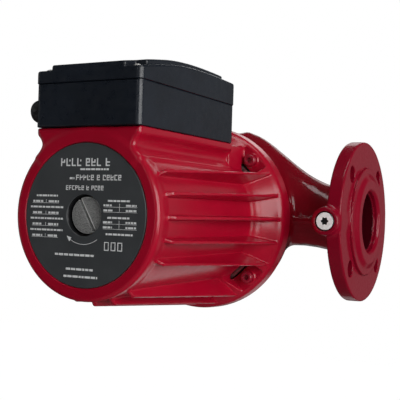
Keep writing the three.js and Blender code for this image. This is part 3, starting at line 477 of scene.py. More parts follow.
def ribs(p):
    x, y, z = p
    turn = np.round(np.degrees(np.arctan2(z, x)) / RIB_PITCH)
    angle = np.radians(turn * RIB_PITCH)
    along = x * np.cos(angle) + z * np.sin(angle)
    across = np.abs(z * np.cos(angle) - x * np.sin(angle))
    by_screw = np.abs(np.mod(turn, 6)) == 3
    under_pedestal = (turn > 3) & (turn < 9)
    points = [
        (BODY_RADIUS, RIB_FRONT_Y),
        (RIB_FRONT_RADIUS, RIB_FRONT_Y + 4),
        (RING_FRONT_RADIUS - 0.3, RING_FRONT_Y),
        (RING_FRONT_RADIUS - 0.3, RING_FRONT_Y + 6),
    ]
    shape = turned(along, y, points, ROOT_RADIUS, blend=1.0)
    half = 1.5 - 0.03 * np.clip(along - BODY_RADIUS, 0, 20)
    plate = common(shape, across - half, blend=0.7)
    return np.where(by_screw | under_pedestal, 30, plate)


def ring_cone(p):
    x, y, z = p
    points = [
        (BODY_RADIUS + 1, CONE_FRONT_Y),
        (RING_FRONT_RADIUS - 0.6, RING_FRONT_Y),
        (RING_FRONT_RADIUS - 0.6, RING_FRONT_Y + 6),
    ]
    cone = turned(hypot(x, z), y, points, ROOT_RADIUS)
    along, across = screw_corner(x, z)
    pocket = common(np.abs(across) - 13, BODY_RADIUS - 10 - along)
    return carve(cone, pocket, blend=1.2)


def pedestal(p):
    """A waisted block between the round motor and the flat seat of the terminal box."""
    x, y, z = p
    side = np.abs(x)
    waist, waist_x, waist_z = 9, PEDESTAL_HALF + 4.5, 49
    root_x, root_z, inner = PEDESTAL_HALF, 41.2, 20
    slab = rectangle(x, z - (PEDESTAL_TOP_Z + inner) / 2, PEDESTAL_HALF, (PEDESTAL_TOP_Z - inner) / 2, 1.0)
    under = (side - root_x) * (root_z - inner) - (z - root_z) * (root_x - inner)
    under = under / math.hypot(root_z - inner, root_x - inner)
    section = common(carve(slab, hypot(side - waist_x, z - waist_z) - waist, blend=1.6), under, blend=2)
    return common(section, span(y, MOTOR_FRONT_Y, PEDESTAL_BACK_Y), blend=4)


def motor_housing(p):
    x, y, z = p
    radius = hypot(x, z)
    from_screw = from_screws(x, z)
    swell = (FRONT_RING_RADIUS - BODY_RADIUS) * (1 - smooth_step((y - MOTOR_FRONT_Y - 5) / 12))
    barrel = disc(radius - swell, y, BODY_RADIUS, MOTOR_FRONT_Y, MOTOR_BACK_Y, 3.6)
    points = [
        (RING_FRONT_RADIUS, RING_FRONT_Y),
        (RING_RADIUS - 0.6, RING_FRONT_Y + 3),
        (RING_RADIUS, MOTOR_BACK_Y),
    ]
    rear_ring = turned(radius, y, points, ROOT_RADIUS, blend=1.4)
    tie_x = PEDESTAL_HALF - 3.5
    tie_low = (tie_x - 1.5, PEDESTAL_BACK_Y - 3, 36)
    tie_high = (tie_x + 1.5, RING_FRONT_Y + 2, PEDESTAL_TOP_Z - 1)
    ties = block((np.abs(x), y, z), tie_low, tie_high)
    pads = disc(from_screw, y, SCREW_PAD_RADIUS, SCREW_SEAT_Y, RING_FRONT_Y + 4, 0.5)
    outside = union(union(barrel, ring_cone(p), blend=7), rear_ring, blend=1.6)
    outside = union(outside, ribs(p), blend=1.1)
    outside = union(outside, pedestal(p), blend=4)
    outside = union(outside, ties, pads, blend=1.6)
    lead_hole = disc(hypot(x, y - LEAD_HOLE_Y), z, LEAD_HOLE_RADIUS, 40, PEDESTAL_TOP_Z + 5)
    screw_holes = disc(from_screw, y, SCREW_RADIUS + 0.6, SCREW_SEAT_Y - 5, MOTOR_BACK_Y + 5)
    return carve(
        outside,
        disc(radius, y, BODY_BORE, BORE_FRONT_Y, MOTOR_BACK_Y + 9, 1.5),
        disc(radius, y, SEAT_BORE, SEAT_FRONT_Y, MOTOR_BACK_Y + 9, 0.5),
        disc(radius, y, PLATE_RADIUS + 0.4, MOTOR_FRONT_Y - 9, PLATE_RECESS_Y, 0.3),
        disc(radius, y, VENT_BORE, MOTOR_FRONT_Y - 9, BORE_FRONT_Y + 9, 0.3),
        lead_hole,
        screw_holes,
        blend=0.7,
    )


# ---- Pump housing ----


def swept(across, up, half_across, half_up):
    """An ellipse's distance, scaled down a little because its centre moves along the sweep."""
    scaled = hypot(across / half_across, up / half_up)
    steepness = hypot(across / half_across**2, up / half_up**2)
    return 0.85 * scaled * (scaled - 1) / np.maximum(steepness, 1e-6)


def outlet_neck(p, wall):
    """It swoops from the top of the volute down to the pipe axis."""
    x, y, z = p
    rise = 1 - smooth_step((x - OUTLET_START_X) / (NECK_END_X - OUTLET_START_X))
    half_z = NECK_RADIUS + OUTLET_GROWTH_Z * rise * rise - wall
    half_y = mix(NECK_RADIUS, OUTLET_HALF_Y, rise) - wall
    tube = swept(y - OUTLET_SHIFT_Y * rise, z - OUTLET_SHIFT_Z * rise, half_y, half_z)
    return common(tube, span(x, OUTLET_START_X, NECK_END_X + 4), blend=3)


def inlet_neck(p, wall):
    """It runs behind the volute to the suction bend."""
    x, y, z = p
    swing = smooth_step((x + NECK_END_X) / NECK_END_X)
    half = mix(NECK_RADIUS, BEND_RADIUS, swing) - wall
    tube = 0.9 * (hypot(y - BEND_CENTRE_Y * swing, z) - half)
    return common(tube, span(x, -NECK_END_X - 4, 0), blend=1)


def flanges(p):
    x, y, z = p
    out, radius = np.abs(x), hypot(y, z)
    along, across = screw_corner(y, z)
    cone_radius = RAISED_FACE_RADIUS + 5
    points = [
        (cone_radius, FLANGE_FRONT_X),
        (cone_radius, FLANGE_STEP_X),
        (RAISED_FACE_RADIUS, PORT_FACE_X),
    ]
    plate = union(
        disc(radius, out, FLANGE_RADIUS, FLANGE_BACK_X, FLANGE_FRONT_X, 1.4),
        disc(radius, out, FLANGE_STEP_RADIUS, FLANGE_FRONT_X - 4, FLANGE_STEP_X, 0.5),
        turned(radius, out, points, blend=0.4),
        blend=0.6,
    )
    hole_at = hypot(along - FLANGE_HOLE_CIRCLE, across)
    holes = disc(hole_at, out, FLANGE_HOLE_RADIUS, FLANGE_BACK_X - 9, FLANGE_FRONT_X + 9)
    return carve(plate, holes, blend=0.7)


def volute(p):
    """The casing round the impeller, with a spiral channel that grows towards the outlet."""
    x, y, z = p
    radius = hypot(x, z)
    points = [
        (VOLUTE_RADIUS, HOUSING_FACE_Y),
        (VOLUTE_RADIUS, VOLUTE_SHOULDER_Y),
        (VOLUTE_RADIUS - 5, VOLUTE_BACK_Y - 24),
        (VOLUTE_RADIUS - 12, VOLUTE_BACK_Y - 12),
        (VOLUTE_RADIUS - 28, VOLUTE_BACK_Y),
    ]
    casing = turned(radius, y, points, blend=3)
    rim = disc(radius, y, VOLUTE_RADIUS + VOLUTE_RIM, HOUSING_FACE_Y, HOUSING_FACE_Y + VOLUTE_RIM_WIDTH, 1)
    growth = np.mod(np.degrees(np.arctan2(-z, x)), 360) / 360
    channel = hypot(radius - CHANNEL_RADIUS, y - CHANNEL_Y) - mix(CHANNEL_START, CHANNEL_END, growth)
    pad = block(p, VOLUTE_PAD_LOW, VOLUTE_PAD_HIGH, 1.5)
    return union(union(casing, channel, blend=5), rim, pad, blend=2)


def pump_housing(p):
    x, y, z = p
    radius = hypot(x, z)
    out = np.abs(x)
    from_bend = np.sqrt(x * x + (y - BEND_CENTRE_Y) ** 2 + z * z)
    bend = union(
        from_bend - BEND_RADIUS,
        disc(radius, y, BEND_RADIUS + 2, -4, BEND_CENTRE_Y, 1),
        blend=4,
    )
    cast = union(volute(p), outlet_neck(p, 0), bend, inlet_neck(p, 0), blend=7)
    tapping = hypot(out - TAPPING_X, z)
    bosses = disc(tapping, y, TAPPING_BOSS_RADIUS, TAPPING_FACE_Y, -20, 1.6)
    parting = union(
        common(union(outlet_neck(p, -1.1), inlet_neck(p, -1.1)), span(z, -0.8, 0.8), blend=1),
        common(outlet_neck(p, -1.5), span(z, -2.0, 2.2), span(x, 70, 110), blend=0.8),
    )
    cast = common(union(cast, parting, blend=1), HOUSING_FACE_Y - y, blend=0.8)
    cast = cast + cast_skin(p, 0.1, 21) + cast_skin(p, 0.03, 6)
    cast = union(cast, bosses, flanges(p), blend=4)
    spigot = disc(radius, y, SPIGOT_RADIUS, SPIGOT_FRONT_Y, HOUSING_FACE_Y + 2, 0.6)
    outside = union(cast, spigot)
    passages = union(
        disc(radius, y, SPIGOT_BORE, SPIGOT_FRONT_Y - 9, CHAMBER_FRONT_Y + 5, 0.5),
        disc(radius, y, CHAMBER_RADIUS, CHAMBER_FRONT_Y, CHAMBER_BACK_Y, 5),
        outlet_neck(p, NECK_WALL),
        inlet_neck(p, NECK_WALL),
        from_bend - BEND_BORE,
        disc(radius, y, BEND_BORE - 1, CHAMBER_BACK_Y - 3, BEND_CENTRE_Y, 1),
        disc(radius, y, EYE_SEAT_RADIUS, CHAMBER_BACK_Y - 3, CHAMBER_BACK_Y + 7, 0.4),
        blend=2,
    )
    from_pipe_axis = hypot(y, z)
    past_face, before_tapping = PORT_FACE_X + 9, TAPPING_FACE_Y - 9
    chamfer = from_pipe_axis - PORT_RADIUS - (out - PORT_FACE_X + 2.6)
    bores = union(
        disc(from_pipe_axis, out, PORT_RADIUS - 0.8, FLANGE_BACK_X - 6, past_face, 0.2),
        disc(from_pipe_axis, out, PORT_RADIUS + 0.4, PORT_FACE_X - 5.5, past_face, 0.2),
        common(chamfer, span(out, PORT_FACE_X - 6, past_face)),
    )
    seat_end = TAPPING_FACE_Y + TAPPING_SEAT_DEPTH
    plug_seat = disc(tapping, y, TAPPING_PLUG_RADIUS + 0.8, before_tapping, seat_end, 0.4)
    plug_hole = disc(tapping, y, TAPPING_THREAD_RADIUS, before_tapping, TAPPING_FACE_Y + TAPPING_DEPTH, 0.4)
    screw_holes = disc(from_screws(x, z), y, SCREW_RADIUS + 0.3, HOUSING_FACE_Y - 9, SCREW_HOLE_END_Y, 0.4)
    return carve(outside, passages, bores, plug_seat, plug_hole, screw_holes, blend=0.7)


# ---- Screws and plugs ----


def gauge_plug(p):
    """A flat plug with a six-lobed socket, with the boss's face at y = 0."""
    x, y, z = p
    radius, angle = hypot(x, z), np.arctan2(z, x)
    head = disc(radius, y, TAPPING_PLUG_RADIUS, PLUG_SINK, 3.2, 0.6)
    thread = disc(radius, y, 4.9 + 0.12 * np.sin(2 * math.pi * y / 1.2), 2.2, 13, 0.4)
    socket = common(radius - (SOCKET_RADIUS + SOCKET_LOBE * np.cos(6 * angle)), y - 4.5)
    return carve(union(head, thread, blend=0.4), socket, blend=0.3)


def cap_screw(p):
    """A socket-head screw with its underside at y = 0."""
    x, y, z = p
    radius = hypot(x, z)
    head = disc(radius, y, SCREW_HEAD, -SCREW_HEAD, 0, 0.8)
    shank = disc(radius, y, SCREW_RADIUS, -1, SCREW_LENGTH, 0.5)
    socket = common(hexagon(x, z, 2.6), y + 1.7, blend=0.3)
    return carve(union(head, shank, blend=0.5), socket, blend=0.5)


def pan_height(radius):
    return radius * 1.25


def pan_screw(radius, length, head_radius):
    """A pan-head screw with a cross recess, its underside at z = 0."""
    head_height = pan_height(radius)
    sphere = (head_radius**2 + (head_height * 1.1) ** 2) / (2 * head_height * 1.1)
    arm_length, arm_half = head_radius * 0.5, radius * 0.2

    def field(p):
        x, y, z = p
        away = hypot(x, y)
        dome = np.sqrt(x * x + y * y + (z - head_height + sphere) ** 2) - sphere
        head = common(dome, away - head_radius, -z, blend=0.35)
        shank = disc(away, z, radius, -length, 0.5, 0.3)
        arms = union(
            rectangle(x, y, arm_length, arm_half, 0.05),
            rectangle(x, y, arm_half, arm_length, 0.05),
        )
        recess = common(arms, head_height * 0.2 - z + away * 0.5, blend=0.1)
        return carve(union(head, shank, blend=0.2), recess, blend=0.15)

    return field


def vent_plug(p):
    x, y, z = p
    radius = hypot(x, z)
    face = corners("vent_plug")[0].y
    ridges = 0.15 * np.sin(2 * math.pi * y / THREAD_PITCH)
    head = disc(radius, y, VENT_PLUG_RADIUS, face, -227, 0.7)
    thread = disc(radius, y, VENT_THREAD_RADIUS + ridges, -228, -213, 0.8)
    across = x * math.sin(SLOT_ANGLE) + z * math.cos(SLOT_ANGLE)
    slot = common(np.abs(across) - SLOT_HALF, y - (face + 2.2), blend=0.2)
    return carve(union(head, thread, blend=0.4), slot, blend=0.35)


# ---- Name plate ----

PLATE_SEGMENTS = 180


def turned_mesh(name, profile):
    """A ring turned about Y from a closed profile of (radius, y), in order round its section."""
    angles = np.arange(PLATE_SEGMENTS) * (2 * math.pi / PLATE_SEGMENTS)
    points = np.array([(r * math.cos(a), y, r * math.sin(a)) for a in angles for r, y in profile])
    index = np.arange(len(points)).reshape(PLATE_SEGMENTS, len(profile))
    after = np.roll(index, -1, 0)
    faces = np.stack([index, after, np.roll(after, -1, 1), np.roll(index, -1, 1)], -1).reshape(-1, 4)
    mesh = mesh_from(points * MM, faces, name)
    shade_smooth(mesh)
    return mesh


def name_plate_mesh():
    low, high = corners("name_plate")
    edge = 0.25
    profile = [
        (VENT_BORE, high.y),
        (VENT_BORE, low.y + edge),
        (VENT_BORE + edge, low.y),
        (PLATE_RADIUS - edge, low.y),
        (PLATE_RADIUS, low.y + edge),
        (PLATE_RADIUS, high.y),
    ]
    return turned_mesh("name_plate_skin", profile)


INK = 0.06  # how far the print stands out


class Print:
    """Raised marks on the plate's face, each a closed prism in x and z."""

    def __init__(self, face_y):
        self.face_y, self.points, self.faces = face_y, [], []

    def prism(self, outline_points):
        first, count = len(self.points), len(outline_points)
        for y in (self.face_y + 0.1, self.face_y - INK):
            self.points += [(x * MM, y * MM, z * MM) for x, z in outline_points]
        middle, last = first + count, first + 2 * count
        back, front = range(first, middle), range(middle, last)
        self.faces += [tuple(back[::-1]), tuple(front)]
        for i in range(count):
            j = (i + 1) % count
            self.faces.append((back[i], back[j], front[j], front[i]))

    def bar(self, x0, x1, z0, z1):
        self.prism([(x0, z0), (x1, z0), (x1, z1), (x0, z1)])

    def open_square(self, x0, x1, z0, z1, pen):
        for low, high in ((z1 - pen, z1), (z0, z0 + pen)):
            self.bar(x0, x1, low, high)
        for left, right in ((x0, x0 + pen), (x1 - pen, x1)):
            self.bar(left, right, z0 + pen, z1 - pen)

    def words(self, x0, x1, z, height, rng):
        """A line of dashes in the rhythm of words, standing for small print."""
        x = x0
        while x < x1 - height * 0.5:
            letters = min(rng.integers(2, 6) * height * 0.62, x1 - x)
            self.bar(x, x + letters, z - height / 2, z + height / 2)
            x += letters + height * 0.45

    def glyphs(self, x0, x1, z, height, rng):
        """A line of made-up angular signs, standing for larger print."""
        wide, pen = height * 0.62, height * 0.17
        x = x0
        while x + wide <= x1:
            low, high = z - height / 2, z + height / 2
            self.bar(x, x + pen, low, high)
            for top in rng.permutation([low + pen, z + pen / 2, high])[: rng.integers(1, 4)]:
                self.bar(x + pen, x + wide, top - pen, top)
            if rng.random() < 0.6:
                self.bar(x + wide - pen, x + wide, z + pen / 2, high - pen)
            x += wide + height * (0.22 if rng.random() < 0.8 else 0.7)

    def mesh(self, name):
        mesh = bpy.data.meshes.new(name)
        mesh.from_pydata(self.points, [], self.faces)
        mesh.update()
        return mesh


def plate_print_mesh():
    rng = np.random.default_rng(5)
    marks = Print(corners("name_plate")[0].y)
    marks.glyphs(-21, 22, 37.4, 5.6, rng)
    marks.words(-4, 20, 32.4, 1.3, rng)
    marks.words(-13, -9, 26, 1.4, rng)
    marks.glyphs(-7.5, 31, 26.6, 3.8, rng)
    marks.glyphs(-16, 18, 19.3, 3.2, rng)
    row, rows = 4.1, 8
    for i in range(rows):
        z = 13.4 - i * row
        if i % 2 == 0:
            inset = 5 if i == 0 else 0
            marks.words(-47 + inset, -18 - inset, z, 1.3, rng)
        else:
            marks.words(-45, -36, z, 1.5, rng)
            marks.words(-31, -22, z, 1.5, rng)
            marks.bar(-45.5, -22, z - 1.3, z - 1.05)
            marks.bar(-33.4, -33.1, z - 1, z + 1.3)
    for top in (10.5, -1.2):
        marks.words(20, 38, top, 1.3, rng)
        for z in (top - 3.1, top - 6.6):
            marks.words(16.5, 24, z, 1.3, rng)
            marks.words(35, 43.5, z, 1.3, rng)
            marks.bar(16.5, 44, z - 1.3, z - 1.05)
        marks.bar(29.6, 29.9, top - 7.4, top - 1.8)
    marks.words(19, 41, -12.6, 1.3, rng)
    for x in (18, 23.5, 29):
        marks.open_square(x, x + 3.8, -24, -18, 0.6)
    marks.words(-24, 10, -28.2, 1.5, rng)
    marks.words(-14, 9, -38.2, 1.5, rng)
    marks.words(-16, 13, -43.4, 1.5, rng)
    turn_arrow(marks)
    return marks.mesh("plate_print")


def turn_arrow(marks):
    """The direction of rotation: an arc under the vent plug with a head at its left end."""
    radius, half_width, steps = 20.5, 0.16, 24
    head_half, head_turn = 1.7, 0.2
    inner, outer = radius - half_width, radius + half_width
    from_angle, to_angle = math.radians(-55), math.radians(-122)
    step = (to_angle - from_angle) / steps

    def at(r, angle):
        return r * math.cos(angle), r * math.sin(angle)

    for i in range(steps):
        a, b = from_angle + i * step, from_angle + (i + 1) * step
        marks.prism([at(outer, a), at(inner, a), at(inner, b), at(outer, b)])
    tip = at(radius, to_angle - head_turn)
    marks.prism([at(radius + head_half, to_angle), at(radius - head_half, to_angle), tip])


# ---- Terminal box ----

LID_SCREWS = [f"lid_screw_{i}" for i in range(1, 5)]
LID_POST_X = max(centre(screw)[0] for screw in LID_SCREWS)
LID_POST_YS = sorted({round(centre(screw)[1], 2) for screw in LID_SCREWS})
BOX_SCREWS_AT = [centre(f"box_screw_{i}") for i in (1, 2)]


def box_plan(p, inset, corner):
    x, y, _ = p
    mid, half = (BOX_LOW.y + BOX_HIGH.y) / 2, (BOX_HIGH.y - BOX_LOW.y) / 2
    return rectangle(x, y - mid, BOX_HALF - inset, half - inset, corner)


def lid_posts(p):
    """The four posts that the lid's screws go through."""
    x, y, _ = p
    side = np.abs(x) - LID_POST_X
    return union(*(rectangle(side, y - post_y, POST_HALF, POST_HALF, 1) for post_y in LID_POST_YS))


def post_holes(p):
    x, y, _ = p
    return union(*(hypot(np.abs(x) - LID_POST_X, y - post_y) - LID_SCREW_HOLE for post_y in LID_POST_YS))


def terminal_box(p):
    x, y, z = p
    floor_z, top_z = BOX_LOW.z, BOX_HIGH.z
    outer = common(box_plan(p, 0, BOX_CORNER), span(z, floor_z, top_z), blend=0.12)
    inner = common(box_plan(p, BOX_WALL, BOX_CORNER - 2), floor_z + BOX_WALL - z, blend=1.2)
    posts = common(lid_posts(p), span(z, floor_z + 1, top_z), blend=0.6)
    shell = union(carve(outer, inner), posts, blend=1)
    screw_holes = union(*(hypot(x - at_x, y - at_y) - BOX_SCREW_HOLE for at_x, at_y, _ in BOX_SCREWS_AT))
    low_holes = union(screw_holes, hypot(x, y - LEAD_HOLE_Y) - LEAD_HOLE_RADIUS)
    gland_hole = hypot(y - GLAND_Y, z - GLAND_Z) - GLAND_HOLE_RADIUS
    gland_hole = common(gland_hole, x + BOX_HALF - BOX_WALL - 1)
    return carve(
        shell,
        common(low_holes, z - (floor_z + BOX_WALL + 1)),
        common(post_holes(p), top_z - LID_SCREW_DEPTH - z),
        gland_hole,
        blend=0.6,
    )


def bezier(points, count=24):
    t = np.linspace(0, 1, count)[:, None]
    a, b, c, d = (np.array(point, float) for point in points)
    return (1 - t) ** 3 * a + 3 * (1 - t) ** 2 * t * b + 3 * (1 - t) * t**2 * c + t**3 * d


# The lid's top in y and z: low at the front edge, rising to a nearly flat back.
LID_CURVE = np.concatenate(
    [
        bezier([(BOX_LOW.y, 103), (-224, 105.2), (-212, 107.4), (-198, 109.5)]),
        bezier([(-198, 109.5), (-165, 115), (-120, 113.4), (BOX_HIGH.y, 112.2)])[1:],
    ]
)


def lid_height(y):
    return np.interp(y, LID_CURVE[:, 0], LID_CURVE[:, 1] + LID_CURVE_RISE).astype(np.float32)


def box_lid(p):
    x, y, z = p
    base_z = LID_BASE_Z - LID_JOINT_CLOSING
    top = z - lid_height(y)
    plan = box_plan(p, -LID_OVERHANG, BOX_CORNER + LID_OVERHANG)
    shell = common(common(plan, top, blend=2), base_z - z, blend=0.12)
    sections = []
    for half, front_y in ((BOX_HALF - 4, LID_NOTCH_Y), (LID_NOTCH_X, BOX_LOW.y)):
        mid, reach = (LID_PANEL_BACK_Y + front_y) / 2, (LID_PANEL_BACK_Y - front_y) / 2
        sections.append(rectangle(x, y - mid, half, reach, 1.5))
    panel = common(union(*sections, blend=1), top - LID_PANEL_HEIGHT, base_z + 3 - z, blend=1.6)
    inner = common(box_plan(p, LID_WALL, BOX_CORNER - 2), top + LID_WALL, blend=1.5)
    posts = common(lid_posts(p), top + 1, base_z - z, blend=0.6)
    body = union(carve(union(shell, panel, blend=1), inner), posts, blend=0.8)
    seats = []
    for screw in LID_SCREWS[:2]:
        away = hypot(np.abs(x) - LID_POST_X, y - centre(screw)[1])
        seats.append(common(away - 4.5, corners(screw)[1].z - 2.8 - z))
    return carve(body, post_holes(p), *seats, blend=0.5)


def terminal_block(p):
    x, y, z = p
    low, high = corners("terminal_block")
    half_pitch = TERMINAL_PITCH / 2
    near = np.mod(x, TERMINAL_PITCH) - half_pitch
    base = block(p, low, (high.x, high.y, high.z - 5), 0.7)
    wall_at = np.abs(np.mod(x + half_pitch, TERMINAL_PITCH) - half_pitch)
    ends = [span(x, low.x, high.x), span(y, low.y, high.y), span(z, low.z + 5, high.z)]
    walls = common(wall_at - 0.9, *ends, blend=0.7)
    mid_y = centre("terminal_block")[1]
    screw_holes = common(hypot(near, y - mid_y) - 2.1, low.z + 4 - z)
    wire_holes = common(hypot(near, z - (low.z + 6)) - 2.2, 3 - np.abs(y - mid_y))
    inside = span(x, low.x + 1.5, high.x - 1.5)
    return carve(union(base, walls, blend=0.6), common(union(screw_holes, wire_holes), inside), blend=0.4)


# ---- Cable gland, along X ----


def gland_body(p):
    x, y, z = p
    out, y, z = -BOX_HALF - x, y - GLAND_Y, z - GLAND_Z
    radius = hypot(y, z)
    ridges = 0.12 * np.sin(2 * math.pi * out / THREAD_PITCH)
    inner = disc(radius, out, 7.8 + ridges, -10, 1, 0.4)
    outer = disc(radius, out, 7.2 + ridges, 0, 11.5, 0.4)
    flange = common(hexagon(z, y, 12), radius - 11.4, span(out, 0.3, 5.2), blend=0.8)
    return carve(union(inner, outer, flange, blend=0.3), radius - 5.4, blend=0.4)


def gland_nut(p):
    x, y, z = p
    out, y, z = -BOX_HALF - x, y - GLAND_Y, z - GLAND_Z
    radius, angle = hypot(y, z), np.arctan2(z, y)
    length = GLAND_HIGH.y - GLAND_Y
    start, end = -BOX_HALF - GLAND_HIGH.x, -BOX_HALF - GLAND_LOW.x
    grip = 0.3 * np.cos(12 * angle) * (1 - smooth_step((out - end + 8) / 4))
    points = [
        (length - 0.3, start),
        (length - 0.3, end - 5),
        (length - 1.2, end - 1.8),
        (length - 3.2, end),
    ]
    shell = turned(radius - grip, out, points, blend=1.6)
    bore = union(radius - 4.4, common(radius - 7.8, out - (end - 5)))
    return carve(shell, bore, blend=0.6)


# ---- Materials ----


def scaled(colour, factor):
    return tuple(c * factor for c in colour)


class Finish:
    """A procedural material: one Principled shader and the layers that drive its inputs."""

    def __init__(self, name, colour, roughness, metallic=0.0, **values):
        self.material = bpy.data.materials.new(name)
        self.material.use_nodes = True
        self.tree = self.material.node_tree
        self.inputs = self.tree.nodes["Principled BSDF"].inputs
        self.tint = (*colour, 1)
        values.update(Base_Color=self.tint, Roughness=roughness, Metallic=metallic)
        for name, value in values.items():
            self.inputs[name.replace("_", " ")].default_value = value
        self.place = self.add("ShaderNodeTexCoord").outputs["Object"]
        self.coordinates = self.add("ShaderNodeSeparateXYZ", {0: self.place}).outputs
        self.normal = None

    def add(self, kind, inputs=None, **settings):
        node = self.tree.nodes.new(kind)
        for key, value in settings.items():
            setattr(node, key, value)
        for key, value in (inputs or {}).items():
            if isinstance(value, bpy.types.NodeSocket):
                self.tree.links.new(value, node.inputs[key])
            else:
                node.inputs[key].default_value = value
        return node

    def drive(self, name, value):
        """Links one of the shader's inputs."""
        self.tree.links.new(value, self.inputs[name])
        return self

    def math(self, operation, a, b=0.0):
        return self.add("ShaderNodeMath", {0: a, 1: b}, operation=operation).outputs[0]

    def both(self, a, b):
        return self.math("MULTIPLY", a, b)

    def ramp(self, value, low, high, to_low=0.0, to_high=1.0):
        inputs = {"Value": value, "From Min": low, "From Max": high, "To Min": to_low, "To Max": to_high}
        return self.add("ShaderNodeMapRange", inputs).outputs["Result"]

    def noise(self, size, detail, wildness=0.55):
        """Noise with features about `size` millimetres across."""
        inputs = {"Vector": self.place, "Scale": 1 / (size * MM), "Detail": detail, "Roughness": wildness}
        return self.add("ShaderNodeTexNoise", inputs).outputs["Fac"]

    def wave(self, per_mm, distortion, direction):
        inputs = {"Vector": self.place, "Scale": per_mm / MM, "Distortion": distortion}
        return self.add("ShaderNodeTexWave", inputs, bands_direction=direction).outputs["Fac"]

    def axis(self, name):
        """A coordinate in millimetres."""
        return self.math("MULTIPLY", self.coordinates[name], 1 / MM)

    def length(self, a, b):
        return self.math("SQRT", self.math("ADD", self.both(a, a), self.both(b, b)))

    def radius(self, axes="XZ"):
        """The distance in millimetres from an axis through the origin."""
        return self.length(*(self.axis(name) for name in axes))

    def paint(self, amount, colour):
        """Lays a colour over what is there, where amount is 1."""
        layers = {0: amount, 6: self.tint, 7: (*colour, 1)}
        self.tint = self.add("ShaderNodeMix", layers, data_type="RGBA").outputs[2]
        return self.drive("Base Color", self.tint)

    def mottle(self, size, detail, low, high, colour, most=1.0, wildness=0.55):
        """Patches of another colour, which come in as noise rises from low to high."""
        return self.paint(self.ramp(self.noise(size, detail, wildness), low, high, 0, most), colour)

    def uneven(self, size, detail, low, high):
        """Roughness that wanders between low and high."""
        return self.drive("Roughness", self.ramp(self.noise(size, detail), 0.3, 0.7, low, high))

    def bump(self, height, depth):
        """Relief, where `depth` millimetres is the height of a value of 1."""
        inputs = {"Height": height, "Distance": depth * MM, "Strength": 1.0}
        if self.normal is not None:
            inputs["Normal"] = self.normal
        self.normal = self.add("ShaderNodeBump", inputs).outputs["Normal"]
        return self.drive("Normal", self.normal)

    def grain(self, size, detail, depth, wildness=0.55):
        return self.bump(self.noise(size, detail, wildness), depth)


def glossy_red():
    """Smooth red enamel on the aluminium motor housing."""
    gloss = {"Specular_IOR_Level": 0.12, "Coat_Weight": 0.7, "Coat_Roughness": 0.2}
    finish = Finish("red_enamel", (0.36, 0.0012, 0.018), 0.4, **gloss)
    finish.mottle(40, 2, 0.35, 0.75, (0.32, 0.001, 0.015))
    finish.mottle(3, 4, 0.6, 0.8, (0.4, 0.003, 0.024), 0.25)
    # Painted shade: near black on the wall of the vent plug's bore, round the plug.
    finish.paint(finish.ramp(finish.radius(), VENT_BORE + 0.9, VENT_BORE + 0.4), (0.008, 0.008, 0.009))
    return finish.uneven(9, 3, 0.36, 0.46).grain(2.5, 2, 0.02).grain(14, 1, 0.05).material


def cast_red():
    """Red paint on cast iron, smoother on the machined flanges, with painted shade on the body towards the
    volute, in the ports and in the gap round the plugs.
    """
    gloss = {"Specular_IOR_Level": 0.05, "Coat_Roughness": 0.12}
    finish = Finish("cast_red_paint", (0.24, 0.0005, 0.009), 0.45, **gloss)
    out = finish.math("ABSOLUTE", finish.axis("X"))
    on_flange = finish.ramp(out, FLANGE_BACK_X - 6, FLANGE_BACK_X)
    finish.mottle(22, 4, 0.4, 0.7, (0.19, 0.0004, 0.007))
    finish.mottle(1.1, 5, 0.62, 0.78, (0.24, 0.004, 0.02), 0.3, 0.7)
    # Painted shade: the paint darkens where |x| is under 84 mm, most within 66 mm, over the volute and the
    # outlet neck.
    finish.paint(finish.ramp(out, 84, 66, 0, 0.7), (0.13, 0.0003, 0.005))
    finish.paint(on_flange, (0.21, 0.0013, 0.013))
    # Painted shade: near black inside the port bores, deeper than 6 mm from the port face.
    in_bore = finish.ramp(finish.radius("YZ"), PORT_RADIUS + 1.2, PORT_RADIUS + 0.4)
    port_shade = finish.both(in_bore, finish.ramp(out, PORT_FACE_X - 5, PORT_FACE_X - 6))
    finish.paint(port_shade, (0.05, 0.0005, 0.004))
    # Painted shade: near black in the gap round each gauge plug, in front of the boss's face.
    from_plug = finish.length(finish.math("SUBTRACT", out, TAPPING_X), finish.axis("Z"))
    gap = finish.ramp(from_plug, TAPPING_PLUG_RADIUS + 1.2, TAPPING_PLUG_RADIUS + 0.7)
    in_front = finish.ramp(finish.axis("Y"), TAPPING_FACE_Y + 4, TAPPING_FACE_Y + 3)
    finish.paint(finish.both(gap, in_front), (0.006, 0.004, 0.004))
    finish.uneven(3, 4, 0.38, 0.55)
    finish.drive("Coat Weight", finish.ramp(on_flange, 0, 1, 0.6, 0.45))
    coarse = finish.ramp(on_flange, 0, 1, 1, 0.1)
    sand, waves = finish.noise(1.7, 4, 0.6), finish.noise(14, 2)
    return finish.bump(finish.both(sand, coarse), 0.24).bump(finish.both(waves, coarse), 0.09).material


def screw_red():
    gloss = {"Coat_Weight": 0.9, "Coat_Roughness": 0.1}
    finish = Finish("screw_red_enamel", (0.26, 0.004, 0.02), 0.32, **gloss)
    finish.mottle(2.5, 3, 0.5, 0.8, (0.36, 0.03, 0.05), 0.6)
    return finish.uneven(1.5, 3, 0.25, 0.45).grain(0.7, 3, 0.05).material


def plate_dark():
    """Dark grey printed foil."""
    finish = Finish("plate_foil", (0.04, 0.043, 0.046), 0.42, Specular_IOR_Level=0.45)
    finish.mottle(24, 3, 0.35, 0.7, (0.05, 0.054, 0.057))
    return finish.uneven(3, 4, 0.36, 0.5).grain(0.35, 2, 0.012).material


def plate_ink():
    finish = Finish("plate_ink", (0.75, 0.76, 0.76), 0.5)
    return finish.mottle(0.8, 3, 0.4, 0.7, (0.6, 0.61, 0.61)).grain(0.3, 2, 0.01).material


